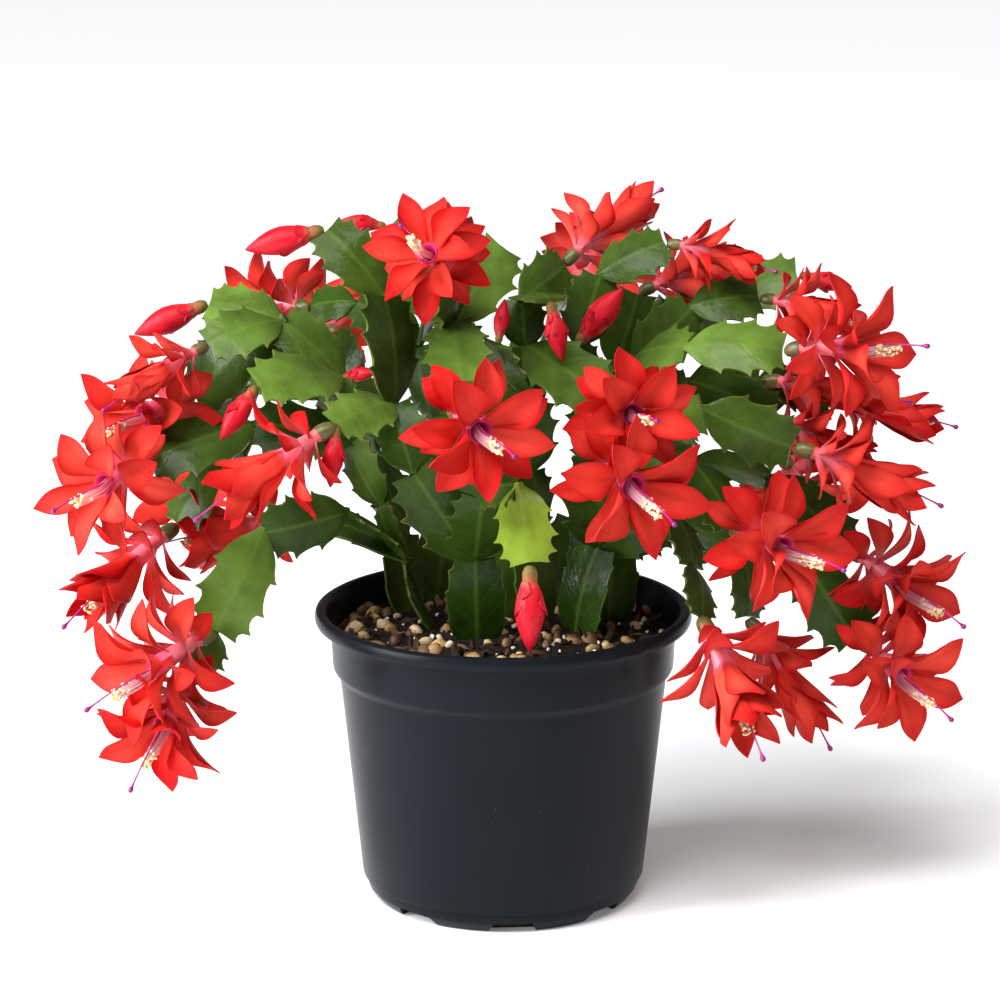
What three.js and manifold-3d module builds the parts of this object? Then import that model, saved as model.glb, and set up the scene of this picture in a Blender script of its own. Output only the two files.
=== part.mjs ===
// A Christmas cactus in full bloom, standing in its black nursery pot. Millimetres, +Z up.
// The origin is the middle of the pot's flat underside, and the plant's front looks along -Y.
import * as THREE from 'three';
import { mergeVertices } from 'three/addons/utils/BufferGeometryUtils.js';
import Module from 'manifold-3d';

const wasm = await Module();
wasm.setup();

// Driving dimensions of the pot
const POT_SIDES = 24;
const RIM_RADIUS = 75;
const RIM_TOP = 118.5;
const LIP_HEIGHT = 5.7;
const COLLAR_RADIUS = 69;
const COLLAR_BOTTOM = 96.5;
const WALL_TOP = { radius: 65.2, height: 90.5 };
const WALL_FOOT = { radius: 56.5, height: 9.5 };
const FOOT_RADIUS = 54.6;
const BASE_RADIUS = 51;
const WALL_THICKNESS = 1.6;
const DRAIN = { count: 8, turn: 4, height: 4.5, topWidth: 15, bottomWidth: 23, inner: 46, outer: 60 };

// Driving dimensions of the potting mix and the gravel on it
const SOIL_EDGE_HEIGHT = 109;
const SOIL_CROWN_HEIGHT = 111.5;
const SLOT = { width: 24, thickness: 8.2, depth: 30, lift: 0.7, seat: 0.3 };
const GRAVEL_COUNT = 9;
const GRAVEL_RADIUS = 3.6;
const GRAVEL_FLATNESS = 0.62;

// Driving dimensions of the leaf-like stem segments
const SEGMENT_RIB = 1.7;
const SEGMENT_BOW = 0.06;
const STRAIGHT_ON = Math.cos(THREE.MathUtils.degToRad(60));
const halfWidthOf = (length) => 6 + 0.15 * length;

// Driving dimensions of a bloom of size 1 and of a bud
const PETAL_THICKNESS = 0.8;
const CLEARANCE = 0.4;
const GROWN_PETAL = { face: 2, edge: 1.5 };
const SEAT = 0.5;
const OUTER_PETAL = { length: 26, stations: [[0.5, 9.4]] };
const INNER_PETAL = { length: 29, stations: [[0.36, 10.8], [0.72, 11]] };
const BUD_SCALE = { length: 8.5, stations: [[0.5, 3.4]] };

// Joints of the leafy stems: name, joint it grows from, x, y, z, and the sides its flat face looks
// to (F front, B back, L left, R right, U up). The first joint of a stem is its foot in the mix.
const STEMS = {
  stem_front: [
    ['a0', null, -10, -15, 104, ''],
    ['a1', 'a0', -11, -22, 144, 'F'],
    ['a2', 'a1', -35, -30, 181, 'F'],
    ['a3', 'a2', -43, -15, 204, 'F'],
    ['a4', 'a3', -47, -10, 247, 'FR'],
    ['a5', 'a4', -69, -5, 271, 'FU'],
    ['a6', 'a3', -64, -38, 201, 'UF'],
    ['a7', 'a1', -8, -40, 174, 'F'],
    ['a8', 'a7', -20, -36, 206, 'F'],
    ['a9', 'a7', 6, -54, 181, 'FU'],
    ['a10', 'a9', 10, -64, 153, 'F'],
  ],
  stem_left: [
    ['b0', null, -25, 4, 104, ''],
    ['b1', 'b0', -39, 2, 137, 'L'],
    ['b2', 'b1', -48, 8, 158, 'LU'],
    ['b3', 'b2', -60, 14, 183, 'LF'],
    ['b4', 'b3', -64, 16, 208, 'LF'],
    ['b5', 'b4', -88, 20, 230, 'FU'],
    ['b6', 'b5', -117, 25, 236, 'FU'],
    ['b7', 'b5', -116, 6, 223, 'FU'],
    ['b8', 'b4', -96, -8, 210, 'FU'],
    ['b9', 'b5', -124, 30, 197, 'FL'],
    ['b10', 'b3', -99, 8, 190, 'FU'],
    ['b11', 'b10', -139, -8, 179, 'UF'],
    ['b12', 'b10', -111, 20, 172, 'FU'],
    ['b13', 'b12', -130, 14, 148, 'FL'],
    ['c1', 'b1', -62, -8, 159, 'U'],
    ['c2', 'c1', -94, -20, 154, 'F'],
    ['c3', 'c2', -113, -26, 115, 'F'],
    ['c4', 'b1', -80, 24, 148, 'U'],
    ['c5', 'c3', -122, -17, 98, 'F'],
  ],
  stem_middle: [
    ['d0', null, -4, 13, 104, ''],
    ['d1', 'd0', -5, 18, 141, 'F'],
    ['d2', 'd1', -9, 22, 171, 'F'],
    ['d3', 'd2', -16, 15, 203, 'FL'],
    ['d4', 'd3', -20, 5, 233, 'F'],
    ['d5', 'd4', -21, -14, 253, 'FU'],
    ['d6', 'd4', -16, -30, 215, 'FU'],
    ['d7', 'd4', 0, 25, 259, 'F'],
    ['d8', 'd4', -46, 20, 268, 'F'],
  ],
  stem_crown: [
    ['e0', null, 13, 5, 104, ''],
    ['e1', 'e0', 10, 6, 141, 'FR'],
    ['e2', 'e1', 11, 8, 172, 'FR'],
    ['e3', 'e2', 9, 5, 203, 'F'],
    ['e4', 'e3', 9, 3, 223, 'F'],
    ['e5', 'e4', 7, 10, 241, 'F'],
    ['e6', 'e5', 24, 24, 252, 'F'],
    ['e7', 'e3', -2, -10, 227, 'FL'],
    ['e8', 'e5', 18, -10, 244, 'U'],
    ['e9', 'e4', 42, -25, 204, 'UF'],
  ],
  stem_right: [
    ['f0', null, 29, -6, 104, ''],
    ['f1', 'f0', 38, -7, 145, 'FL'],
    ['f2', 'f1', 38, 0, 174, 'FR'],
    ['f3', 'f2', 34, 5, 200, 'F'],
    ['f4', 'f3', 29, 8, 223, 'FR'],
    ['f5', 'f4', 38, 12, 250, 'F'],
    ['f6', 'f5', 64, 15, 262, 'FU'],
    ['f7', 'f1', 36, -36, 189, 'UF'],
    ['f8', 'f1', 65, -12, 161, 'F'],
    ['f9', 'f2', 73, -12, 180, 'UF'],
    ['f10', 'f9', 88, -35, 159, 'U'],
    ['f11', 'f2', 59, -10, 195, 'F'],
    ['f12', 'f11', 78, -20, 203, 'F'],
    ['f13', 'f12', 112, -28, 190, 'F'],
    ['f14', 'f8', 73, -30, 143, 'FR'],
    ['f15', 'f14', 76, -46, 127, 'FR'],
  ],
  stem_far_right: [
    ['g0', null, 42, 13, 104, ''],
    ['g1', 'g0', 44, 24, 138, 'F'],
    ['g2', 'g1', 50, 22, 169, 'F'],
    ['g3', 'g2', 54, 17, 197, 'FR'],
    ['g4', 'g3', 52, 10, 217, 'F'],
    ['g5', 'g4', 74, 12, 237, 'F'],
    ['g6', 'g5', 101, 15, 240, 'FU'],
    ['g7', 'g4', 72, -8, 225, 'FU'],
    ['g8', 'g7', 109, -14, 225, 'FU'],
    ['g9', 'g3', 74, 20, 205, 'FU'],
    ['g10', 'g9', 102, 18, 206, 'FU'],
    ['g11', 'g10', 130, 38, 193, 'UF'],
    ['g12', 'g2', 77, 30, 171, 'UF'],
    ['g13', 'g12', 107, 25, 164, 'UB'],
    ['g14', 'g13', 117, 4, 140, 'FR'],
    ['g15', 'g14', 141, -2, 105, 'F'],
    ['g16', 'g13', 137, 10, 139, 'FU'],
    ['g17', 'g1', 68, 30, 145, 'F'],
    ['g18', 'g17', 95, 22, 136, 'UF'],
    ['g19', 'g18', 98, 12, 110, 'FR'],
    ['g20', 'g9', 105, -4, 196, 'FU'],
  ],
  stem_right_back: [
    ['h0', null, 30, 31, 104, ''],
    ['h1', 'h0', 34, 42, 142, 'BR'],
    ['h2', 'h1', 38, 42, 178, 'BR'],
    ['h3', 'h2', 45, 36, 208, 'F'],
    ['h4', 'h3', 54, 38, 238, 'F'],
    ['h5', 'h3', 83, 42, 232, 'UF'],
    ['h6', 'h5', 118, 38, 245, 'UF'],
    ['h7', 'h2', 70, 68, 190, 'UB'],
    ['h8', 'h7', 98, 84, 184, 'UB'],
    ['h9', 'h8', 116, 92, 158, 'RB'],
  ],
  stem_back_left: [
    ['i0', null, -38, 21, 104, ''],
    ['i1', 'i0', -40, 42, 138, 'BL'],
    ['i2', 'i1', -52, 58, 168, 'BL'],
    ['i3', 'i2', -76, 72, 188, 'UB'],
    ['i4', 'i3', -104, 84, 190, 'UB'],
    ['i5', 'i4', -122, 94, 164, 'LB'],
    ['i6', 'i2', -60, 84, 190, 'UL'],
    ['i7', 'i6', -70, 100, 208, 'UL'],
    ['i8', 'i3', -92, 58, 212, 'UL'],
  ],
  stem_back: [
    ['j0', null, -2, 50, 104, ''],
    ['j1', 'j0', -6, 60, 142, 'B'],
    ['j2', 'j1', -10, 76, 176, 'B'],
    ['j3', 'j2', -16, 98, 202, 'B'],
    ['j4', 'j3', -20, 120, 204, 'UL'],
    ['j5', 'j4', -22, 134, 176, 'B'],
    ['j6', 'j2', 16, 84, 206, 'B'],
    ['j7', 'j6', 30, 106, 226, 'UB'],
  ],
  stem_back_right: [
    ['k0', null, 24, 48, 104, ''],
    ['k1', 'k0', 30, 66, 138, 'B'],
    ['k2', 'k1', 44, 88, 164, 'BR'],
    ['k3', 'k2', 62, 108, 178, 'UB'],
    ['k4', 'k3', 76, 124, 154, 'BR'],
    ['k5', 'k2', 26, 112, 178, 'UB'],
  ],
  stem_top_back: [
    ['l0', null, -29, 43, 104, ''],
    ['l1', 'l0', -22, 48, 142, 'F'],
    ['l2', 'l1', -26, 52, 180, 'F'],
    ['l3', 'l2', -34, 52, 214, 'FL'],
    ['l4', 'l3', -60, 52, 231, 'UF'],
    ['l5', 'l4', -78, 56, 228, 'UF'],
    ['l6', 'l3', -20, 74, 236, 'UB'],
  ],
};

const jointPoint = {};
Object.values(STEMS).flat().forEach(([name, , x, y, z]) => {
  jointPoint[name] = new THREE.Vector3(x, y, z);
});

// Blooms: joint, compass angle of the aim (0 right, 90 back, 180 left, 270 front), its rise above
// level, how far the petals are open (0 shut, 1 rolled back), and the size
const BLOOMS = [
  ['a8', 293, -4, 0.95, 1.04],
  ['f7', 296, -12, 0.95, 1.08],
  ['f10', 307, -2, 0.92, 1.1],
  ['d5', 248, 32, 0.95, 0.92],
  ['e9', 286, 8, 0.9, 0.94],
  ['f15', 297, -42, 0.4, 1.1],
  ['a6', 200, -30, 0.45, 1.1],
  ['g8', 328, 8, 0.95, 1.04],
  ['f13', 354, -21, 0.3, 1.04],
  ['e6', 38, 26, 0.35, 0.95],
  ['f6', 345, -12, 0.1, 0.76],
  ['g10', 340, -4, 0.2, 1.04],
  ['g11', 350, -9, 0.3, 0.9],
  ['g16', 318, -20, 0.9, 1.04],
  ['g15', 306, -19, 0.95, 1],
  ['g19', 335, -54, 0.15, 1.05],
  ['g6', 338, -9, 0.25, 0.8],
  ['h4', 14, 11, 0.3, 0.88],
  ['b9', 232, -5, 0.85, 1.04],
  ['b11', 237, -7, 0.95, 1],
  ['b13', 222, -29, 0.4, 1.1],
  ['c3', 220, -18, 0.95, 1.08],
  ['c5', 244, -36, 0.9, 1.04],
  ['b7', 213, -24, 0.15, 0.86],
  ['c4', 190, -8, 0.6, 1.04],
  ['l5', 142, -4, 0.85, 0.88],
  ['l6', 104, 0, 0.8, 1],
  ['i5', 130, -52, 0.9, 1.04],
  ['i7', 110, -5, 0.95, 1.08],
  ['j5', 88, -50, 0.5, 1.04],
  ['j7', 66, 12, 0.95, 1],
  ['h9', 48, -50, 0.9, 1.04],
  ['g20', 344, -20, 0.22, 0.84],
];

// Buds: joint, compass angle and rise of the aim, and the length from the stalk to the point
const BUDS = [
  ['a5', 182, -14, 32],
  ['a10', 272, -84, 34],
  ['f4', 330, 50, 32],
  ['b6', 185, -22, 32],
  ['b8', 212, -50, 26],
  ['a6', 250, -74, 24],
  ['e8', 318, -74, 24],
  ['h6', 355, -12, 22],
  ['d8', 178, 8, 18],
  ['e7', 70, 66, 18],
  ['b4', 330, 14, 17],
  ['g15', 30, 24, 20],
  ['k4', 60, -56, 30],
  ['i8', 150, 14, 26],
];

const COLOURS = {
  pot: { color: 0x23262a, roughness: 0.45 },
  mix: { color: 0x2a1d14, roughness: 0.95 },
  segment: { color: 0x3f7a24, roughness: 0.4 },
  petal: { color: 0xe5331e, roughness: 0.5 },
  bud: { color: 0xd62b45, roughness: 0.45 },
};

const degrees = THREE.MathUtils.degToRad;

// A closed skin of flat facets, put together corner by corner
class Skin {
  constructor() {
    this.corners = [];
    this.faces = [];
  }

  corner(point) {
    this.corners.push(point.x, point.y, point.z);
    return this.corners.length / 3 - 1;
  }

  fan(...ids) {
    for (let i = 1; i + 1 < ids.length; i += 1) this.faces.push(ids[0], ids[i], ids[i + 1]);
  }

  // Joins two loops of corners that run the same way round
  band(near, far) {
    near.forEach((id, i) => {
      const next = (i + 1) % near.length;
      this.fan(id, near[next], far[next], far[i]);
    });
  }

  point(loop, tip) {
    loop.forEach((id, i) => this.fan(id, loop[(i + 1) % loop.length], tip));
  }

  solid() {
    const vertProperties = Float32Array.from(this.corners);
    const triVerts = Uint32Array.from(this.faces);
    return new wasm.Manifold(new wasm.Mesh({ numProp: 3, vertProperties, triVerts }));
  }
}

// A closed three.js geometry as a solid; a lathe's poles leave triangles with no area, dropped here
function solidOf(geometry) {
  geometry.deleteAttribute('normal');
  geometry.deleteAttribute('uv');
  const merged = mergeVertices(geometry, 1e-3);
  const index = merged.index.array;
  const triVerts = [];
  for (let i = 0; i < index.length; i += 3) {
    const [a, b, c] = [index[i], index[i + 1], index[i + 2]];
    if (a !== b && b !== c && c !== a) triVerts.push(a, b, c);
  }
  return new wasm.Manifold(new wasm.Mesh({
    numProp: 3,
    vertProperties: Float32Array.from(merged.attributes.position.array),
    triVerts: Uint32Array.from(triVerts),
  }));
}

// Turns an outline of [radius, height] pairs round the pot's axis
function turned(outline) {
  const points = outline.map(([radius, height]) => new THREE.Vector2(radius, height));
  return solidOf(new THREE.LatheGeometry(points, POT_SIDES).rotateX(Math.PI / 2));
}

// The pot: tapered wall, deeper collar, rolled lip, stepped foot and slots round the foot
function makePot() {
  const lipBottom = RIM_TOP - LIP_HEIGHT;
  const inside = [
    [RIM_RADIUS - 4.4, RIM_TOP - 0.8],
    [COLLAR_RADIUS - WALL_THICKNESS, lipBottom - 2],
    [COLLAR_RADIUS - 1.2 - WALL_THICKNESS, COLLAR_BOTTOM + 0.5],
    [WALL_TOP.radius - WALL_THICKNESS, WALL_TOP.height + 0.5],
    [WALL_FOOT.radius - WALL_THICKNESS, WALL_FOOT.height + 2],
    [BASE_RADIUS - 0.5, WALL_THICKNESS],
    [0, WALL_THICKNESS],
  ];
  let pot = turned([
    [0, 0],
    [BASE_RADIUS, 0],
    [FOOT_RADIUS - 0.4, 4],
    [FOOT_RADIUS, WALL_FOOT.height - 2],
    [WALL_FOOT.radius, WALL_FOOT.height],
    [WALL_TOP.radius, WALL_TOP.height],
    [COLLAR_RADIUS - 1.2, COLLAR_BOTTOM],
    [COLLAR_RADIUS, lipBottom - 0.6],
    [RIM_RADIUS - 1.2, lipBottom],
    [RIM_RADIUS, lipBottom + 2],
    [RIM_RADIUS - 0.4, RIM_TOP - 1.2],
    [RIM_RADIUS - 2, RIM_TOP],
    ...inside,
  ]);
  const slot = new THREE.Shape([
    new THREE.Vector2(-DRAIN.bottomWidth / 2, -1),
    new THREE.Vector2(DRAIN.bottomWidth / 2, -1),
    new THREE.Vector2(DRAIN.topWidth / 2, DRAIN.height),
    new THREE.Vector2(-DRAIN.topWidth / 2, DRAIN.height),
  ]);
  for (let i = 0; i < DRAIN.count; i += 1) {
    const depth = DRAIN.outer - DRAIN.inner;
    const cutter = new THREE.ExtrudeGeometry(slot, { depth, bevelEnabled: false });
    cutter.rotateX(Math.PI / 2).translate(0, -DRAIN.inner, 0);
    cutter.rotateZ(degrees(DRAIN.turn + (360 * i) / DRAIN.count));
    pot = pot.subtract(solidOf(cutter));
  }
  return pot;
}

// Pebble number i: a squashed ball with few sides, on a sunflower spiral over the mix
function makePebble(i) {
  const share = (i + 0.5) / GRAVEL_COUNT;
  const radius = 24 + 38 * Math.sqrt(share);
  const angle = i * degrees(137.5);
  const size = GRAVEL_RADIUS * (0.8 + 0.45 * Math.abs(Math.sin(i * 2.4)));
  const [x, y] = [radius * Math.cos(angle), radius * Math.sin(angle)];
  const centre = new THREE.Vector3(x, y, SOIL_EDGE_HEIGHT + 0.8);
  const nearFoot = Object.values(STEMS)
    .some(([[foot]]) => jointPoint[foot].distanceTo(centre) < size + SLOT.width / 2 + 5);
  if (nearFoot) return null;
  const pebble = new THREE.IcosahedronGeometry(size, 0);
  pebble.scale(1.2, 0.9, GRAVEL_FLATNESS).rotateZ(angle * 1.7).translate(...centre);
  return solidOf(pebble);
}

// The slot that a stem's foot stands in, square to its first segment; the foot's point is seated on
// the bottom of the slot
function makeSlot([[foot], [first, , , , , letters]]) {
  const blade = new Blade(jointPoint[foot], jointPoint[first], letters, 0);
  const slot = new THREE.BoxGeometry(SLOT.depth, SLOT.width, SLOT.thickness);
  slot.applyMatrix4(new THREE.Matrix4().makeBasis(blade.along, blade.across, blade.normal));
  const bottom = RUN_START * blade.length - SLOT.seat;
  const middle = blade.point(0, 0, SLOT.lift).addScaledVector(blade.along, bottom + SLOT.depth / 2);
  return solidOf(slot.translate(...middle));
}

// The potting mix fills the pot and has a plain hole round the foot of each stem
function makeMix() {
  const gap = WALL_THICKNESS + CLEARANCE;
  let mix = turned([
    [0, gap],
    [BASE_RADIUS - 1.2, gap],
    [WALL_FOOT.radius - gap, WALL_FOOT.height + 2.7],
    [WALL_TOP.radius - gap - 0.1, WALL_TOP.height + 1],
    [COLLAR_RADIUS - 1.3 - gap, COLLAR_BOTTOM + 1],
    [COLLAR_RADIUS - 0.2 - gap, SOIL_EDGE_HEIGHT],
    [COLLAR_RADIUS - 20, SOIL_CROWN_HEIGHT - 0.5],
    [0, SOIL_CROWN_HEIGHT],
  ]);
  for (let i = 0; i < GRAVEL_COUNT; i += 1) {
    const pebble = makePebble(i);
    if (pebble) mix = mix.add(pebble);
  }
  Object.values(STEMS).forEach((rows) => {
    mix = mix.subtract(makeSlot(rows));
  });
  return mix;
}

const SIDES = {
  F: [0, -1, 0],
  B: [0, 1, 0],
  L: [-1, 0, 0],
  R: [1, 0, 0],
  U: [0, 0, 1],
};

const facing = (letters) => {
  const sum = new THREE.Vector3();
  for (const letter of letters) sum.add(new THREE.Vector3(...SIDES[letter]));
  return sum.normalize();
};

// One edge of a segment from its neck to its tip, with its forward teeth: share of the length and of
// the half width. The neck and the tip are small diamonds that the next segment grows out of.
const SEGMENT_EDGE = [
  [0.24, 0.84],
  [0.36, 1.0],
  [0.43, 0.82],
  [0.67, 1.06],
  [0.75, 0.84],
  [0.98, 0.66],
];
const NECK_WIDTH = 0.2;
const NECK_LIFT = 1.5;
const RUN_START = -0.08;
const RUN_NECK = 0.07;
const RIB_OF_EDGE_POINT = [0, 0, 1, 1, 1, 2, 2];

// The place of a flat segment between two joints: thick along its rib, thin at its edge, bowed a
// little. Grown, it is larger all round.
class Blade {
  constructor(from, to, letters, grow) {
    this.from = from;
    this.grow = grow;
    this.along = to.clone().sub(from);
    this.length = this.along.length();
    this.along.normalize();
    this.normal = facing(letters);
    this.normal.addScaledVector(this.along, -this.normal.dot(this.along)).normalize();
    this.across = this.normal.clone().cross(this.along);
    this.halfWidth = halfWidthOf(this.length);
  }

  // A point at a share of the length, a share of the half width and a lift off the middle plane
  point(share, width, lift) {
    const bow = SEGMENT_BOW * this.length * 4 * share * (1 - share);
    const reach = share * this.length + this.grow * (share > 0.5 ? 1.4 : -1.4);
    const aside = width * this.halfWidth + Math.sign(width) * this.grow * 1.4;
    return this.from.clone().addScaledVector(this.along, reach)
      .addScaledVector(this.across, aside).addScaledVector(this.normal, lift + Math.max(bow, 0));
  }

  edge(skin, side, lift) {
    return SEGMENT_EDGE.map(([share, width]) => skin.corner(this.point(share, side * width, lift)));
  }

  // The diamond at a share of the length: its left, front, right and back corners
  diamond(skin, share) {
    return [[-NECK_WIDTH, 0], [0, NECK_LIFT], [NECK_WIDTH, 0], [0, -NECK_LIFT]].map(([width, lift]) => (
      skin.corner(this.point(share, width, lift))));
  }
}

// Covers one face of a segment with facets that run from its edges to its rib
function coverFace(skin, left, right, rib, back) {
  const fan = back ? (a, b, c) => skin.fan(a, c, b) : (a, b, c) => skin.fan(a, b, c);
  RIB_OF_EDGE_POINT.forEach((at, i) => {
    const next = RIB_OF_EDGE_POINT[i + 1] ?? at;
    fan(left[i], left[i + 1], rib[at]);
    fan(right[i + 1], right[i], rib[at]);
    if (next !== at) {
      fan(left[i + 1], rib[next], rib[at]);
      fan(right[i + 1], rib[at], rib[next]);
    }
  });
}

// Covers a segment from the diamond that it grows out of, and returns the diamond at its tip
function coverSegment(skin, blade, neck) {
  const tip = blade.diamond(skin, 1);
  const left = [neck[0], ...blade.edge(skin, -1, 0), tip[0]];
  const right = [neck[2], ...blade.edge(skin, 1, 0), tip[2]];
  const middle = (lift) => skin.corner(blade.point(0.5, 0, lift));
  coverFace(skin, left, right, [neck[1], middle(SEGMENT_RIB), tip[1]], false);
  coverFace(skin, left, right, [neck[3], middle(-SEGMENT_RIB), tip[3]], true);
  return tip;
}

// A segment grown all round, with a rim: it cuts the room that a segment's neighbours leave it
function makeGrownSegment(blade) {
  const skin = new Skin();
  const outline = (side, lift) => [
    skin.corner(blade.point(RUN_START, side * NECK_WIDTH, lift)),
    ...blade.edge(skin, side, lift),
    skin.corner(blade.point(1, side * NECK_WIDTH, lift)),
  ];
  const faces = [1, -1].map((side) => {
    const left = outline(-1, side * blade.grow);
    const right = outline(1, side * blade.grow);
    const ribLift = side * (SEGMENT_RIB + blade.grow);
    const rib = [RUN_START + 0.02, 0.5, 0.98].map((share) => skin.corner(blade.point(share, 0, ribLift)));
    coverFace(skin, left, right, rib, side < 0);
    const close = side > 0 ? (a, b, c) => skin.fan(a, b, c) : (a, b, c) => skin.fan(a, c, b);
    close(right[0], left[0], rib[0]);
    close(left.at(-1), right.at(-1), rib[2]);
    return [...left, ...right.reverse()];
  });
  skin.band(faces[1], faces[0]);
  return skin.solid();
}

// Starts the diamond loop at the corner that lies nearest the next segment's left edge
function turnedLoop(loop, blade, lastBlade) {
  const sides = [
    lastBlade.across.clone().negate(),
    lastBlade.normal,
    lastBlade.across,
    lastBlade.normal.clone().negate(),
  ];
  const likeness = sides.map((side) => -side.dot(blade.across));
  const first = likeness.indexOf(Math.max(...likeness));
  return loop.map((id, i) => loop[(first + i) % 4]);
}

// A leafy stem is one body. A segment that carries on nearly straight shares its neighbour's corners;
// one that turns off sharply, or is a second branch, is a run of its own, joined on.
function makeStem(rows) {
  const grown = rows.filter(([, parent]) => parent).map(([name, parent, , , , letters]) => ({
    name, parent, blade: new Blade(jointPoint[parent], jointPoint[name], letters, 0), taken: false,
  }));
  const runs = [];
  grown.forEach((start) => {
    if (start.taken) return;
    const skin = new Skin();
    let loop = start.blade.diamond(skin, RUN_NECK);
    skin.point(loop, skin.corner(start.blade.point(RUN_START, 0, 0)));
    for (let now = start; now;) {
      now.taken = true;
      const tip = coverSegment(skin, now.blade, loop);
      const { name, blade } = now;
      now = grown.find((other) => !other.taken && other.parent === name
        && other.blade.along.dot(blade.along) > STRAIGHT_ON);
      loop = now ? turnedLoop(tip, now.blade, blade) : tip;
    }
    skin.fan(...loop.reverse());
    runs.push(skin.solid());
  });
  return runs.reduce((body, part) => body.add(part));
}

function makeGrownStem(rows) {
  return rows.filter(([, parent]) => parent)
    .map(([name, parent, , , , letters]) => (
      makeGrownSegment(new Blade(jointPoint[parent], jointPoint[name], letters, CLEARANCE))))
    .reduce((body, part) => body.add(part));
}

// The frame of a bloom or bud: its axis, and the side directions at an angle round it, 0 uppermost
function frameOf(joint, compass, rise) {
  const axis = new THREE.Vector3(1, 0, 0)
    .applyAxisAngle(new THREE.Vector3(0, 1, 0), -degrees(rise))
    .applyAxisAngle(new THREE.Vector3(0, 0, 1), degrees(compass));
  const top = Math.abs(axis.z) > 0.96 ? new THREE.Vector3(0, -1, 0) : new THREE.Vector3(0, 0, 1);
  top.addScaledVector(axis, -top.dot(axis)).normalize();
  const side = axis.clone().cross(top);
  const place = (radius, angle, height, aside = 0) => {
    const out = top.clone().multiplyScalar(Math.cos(angle)).addScaledVector(side, Math.sin(angle));
    const turn = side.clone().multiplyScalar(Math.cos(angle)).addScaledVector(top, -Math.sin(angle));
    return jointPoint[joint].clone().addScaledVector(axis, height)
      .addScaledVector(out, radius).addScaledVector(turn, aside);
  };
  return place;
}

const FLOWER_SIDES = 5;
const SECTOR = (2 * Math.PI) / FLOWER_SIDES;

// A ring of corners round the flower's axis, turned by a share of a sector
function ringOf(skin, place, radius, height, turn) {
  const ids = [];
  for (let k = 0; k < FLOWER_SIDES; k += 1) {
    ids.push(skin.corner(place(radius, (k + turn) * SECTOR, height)));
  }
  return { ids, radius, height, turn };
}

// A petal pulled out of the facet between two rings: it leaves at one lean from the axis, reaches
// another, and stays inside its own sector, so it never crosses the next petal of its whorl. A grown
// petal gains more than the growth on its faces and edges, because the bend takes some of it away.
function pullPetal(skin, place, lower, upper, k, petal, lean, size, grow) {
  const next = (k + 1) % FLOWER_SIDES;
  const middle = (k + lower.turn + 0.5) * SECTOR;
  const thick = PETAL_THICKNESS + 2 * grow;
  const faceLift = PETAL_THICKNESS / 2 + GROWN_PETAL.face * grow;
  const length = petal.length * size + grow;
  const steps = 12;
  let radius = ((lower.radius + upper.radius) / 2) * Math.cos(SECTOR / 2);
  let height = (lower.height + upper.height) / 2;
  let loop = [lower.ids[k], lower.ids[next], upper.ids[next], upper.ids[k]];
  let done = 0;
  const walkTo = (share) => {
    for (; done < Math.round(share * steps); done += 1) {
      const angle = lean[0] + (lean[1] - lean[0]) * ((done + 0.5) / steps);
      radius += (Math.sin(angle) * length) / steps;
      height += (Math.cos(angle) * length) / steps;
    }
    return lean[0] + (lean[1] - lean[0]) * share;
  };
  petal.stations.forEach(([share, width]) => {
    const angle = walkTo(share);
    const room = 2 * Math.tan(SECTOR / 2) * 0.96 * (radius - thick);
    const half = Math.min(width * size, room) / 2 + GROWN_PETAL.edge * grow;
    const spot = (aside, lift) => skin.corner(
      place(radius - Math.cos(angle) * lift, middle, height + Math.sin(angle) * lift, aside));
    const stop = [
      spot(-half, -faceLift),
      spot(half, -faceLift),
      spot(half, faceLift),
      spot(-half, faceLift),
    ];
    skin.band(loop, stop);
    loop = stop;
  });
  walkTo(1);
  skin.point(loop, skin.corner(place(radius, middle, height)));
}

// A whorl: a petal from each facet, or from every other one with the rest left plain, and the
// uppermost petals leaning back the most
function pullWhorl(skin, place, lower, upper, petal, leans, topLean, size, grow, every = 1) {
  for (let k = 0; k < FLOWER_SIDES; k += 1) {
    if (k % every !== 0) {
      const next = (k + 1) % FLOWER_SIDES;
      skin.fan(lower.ids[k], lower.ids[next], upper.ids[next], upper.ids[k]);
      continue;
    }
    const more = topLean * Math.cos((k + lower.turn + 0.5) * SECTOR);
    const lean = [degrees(leans[0]), degrees(leans[1] + more)];
    pullPetal(skin, place, lower, upper, k, petal, lean, size, grow);
  }
}

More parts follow.
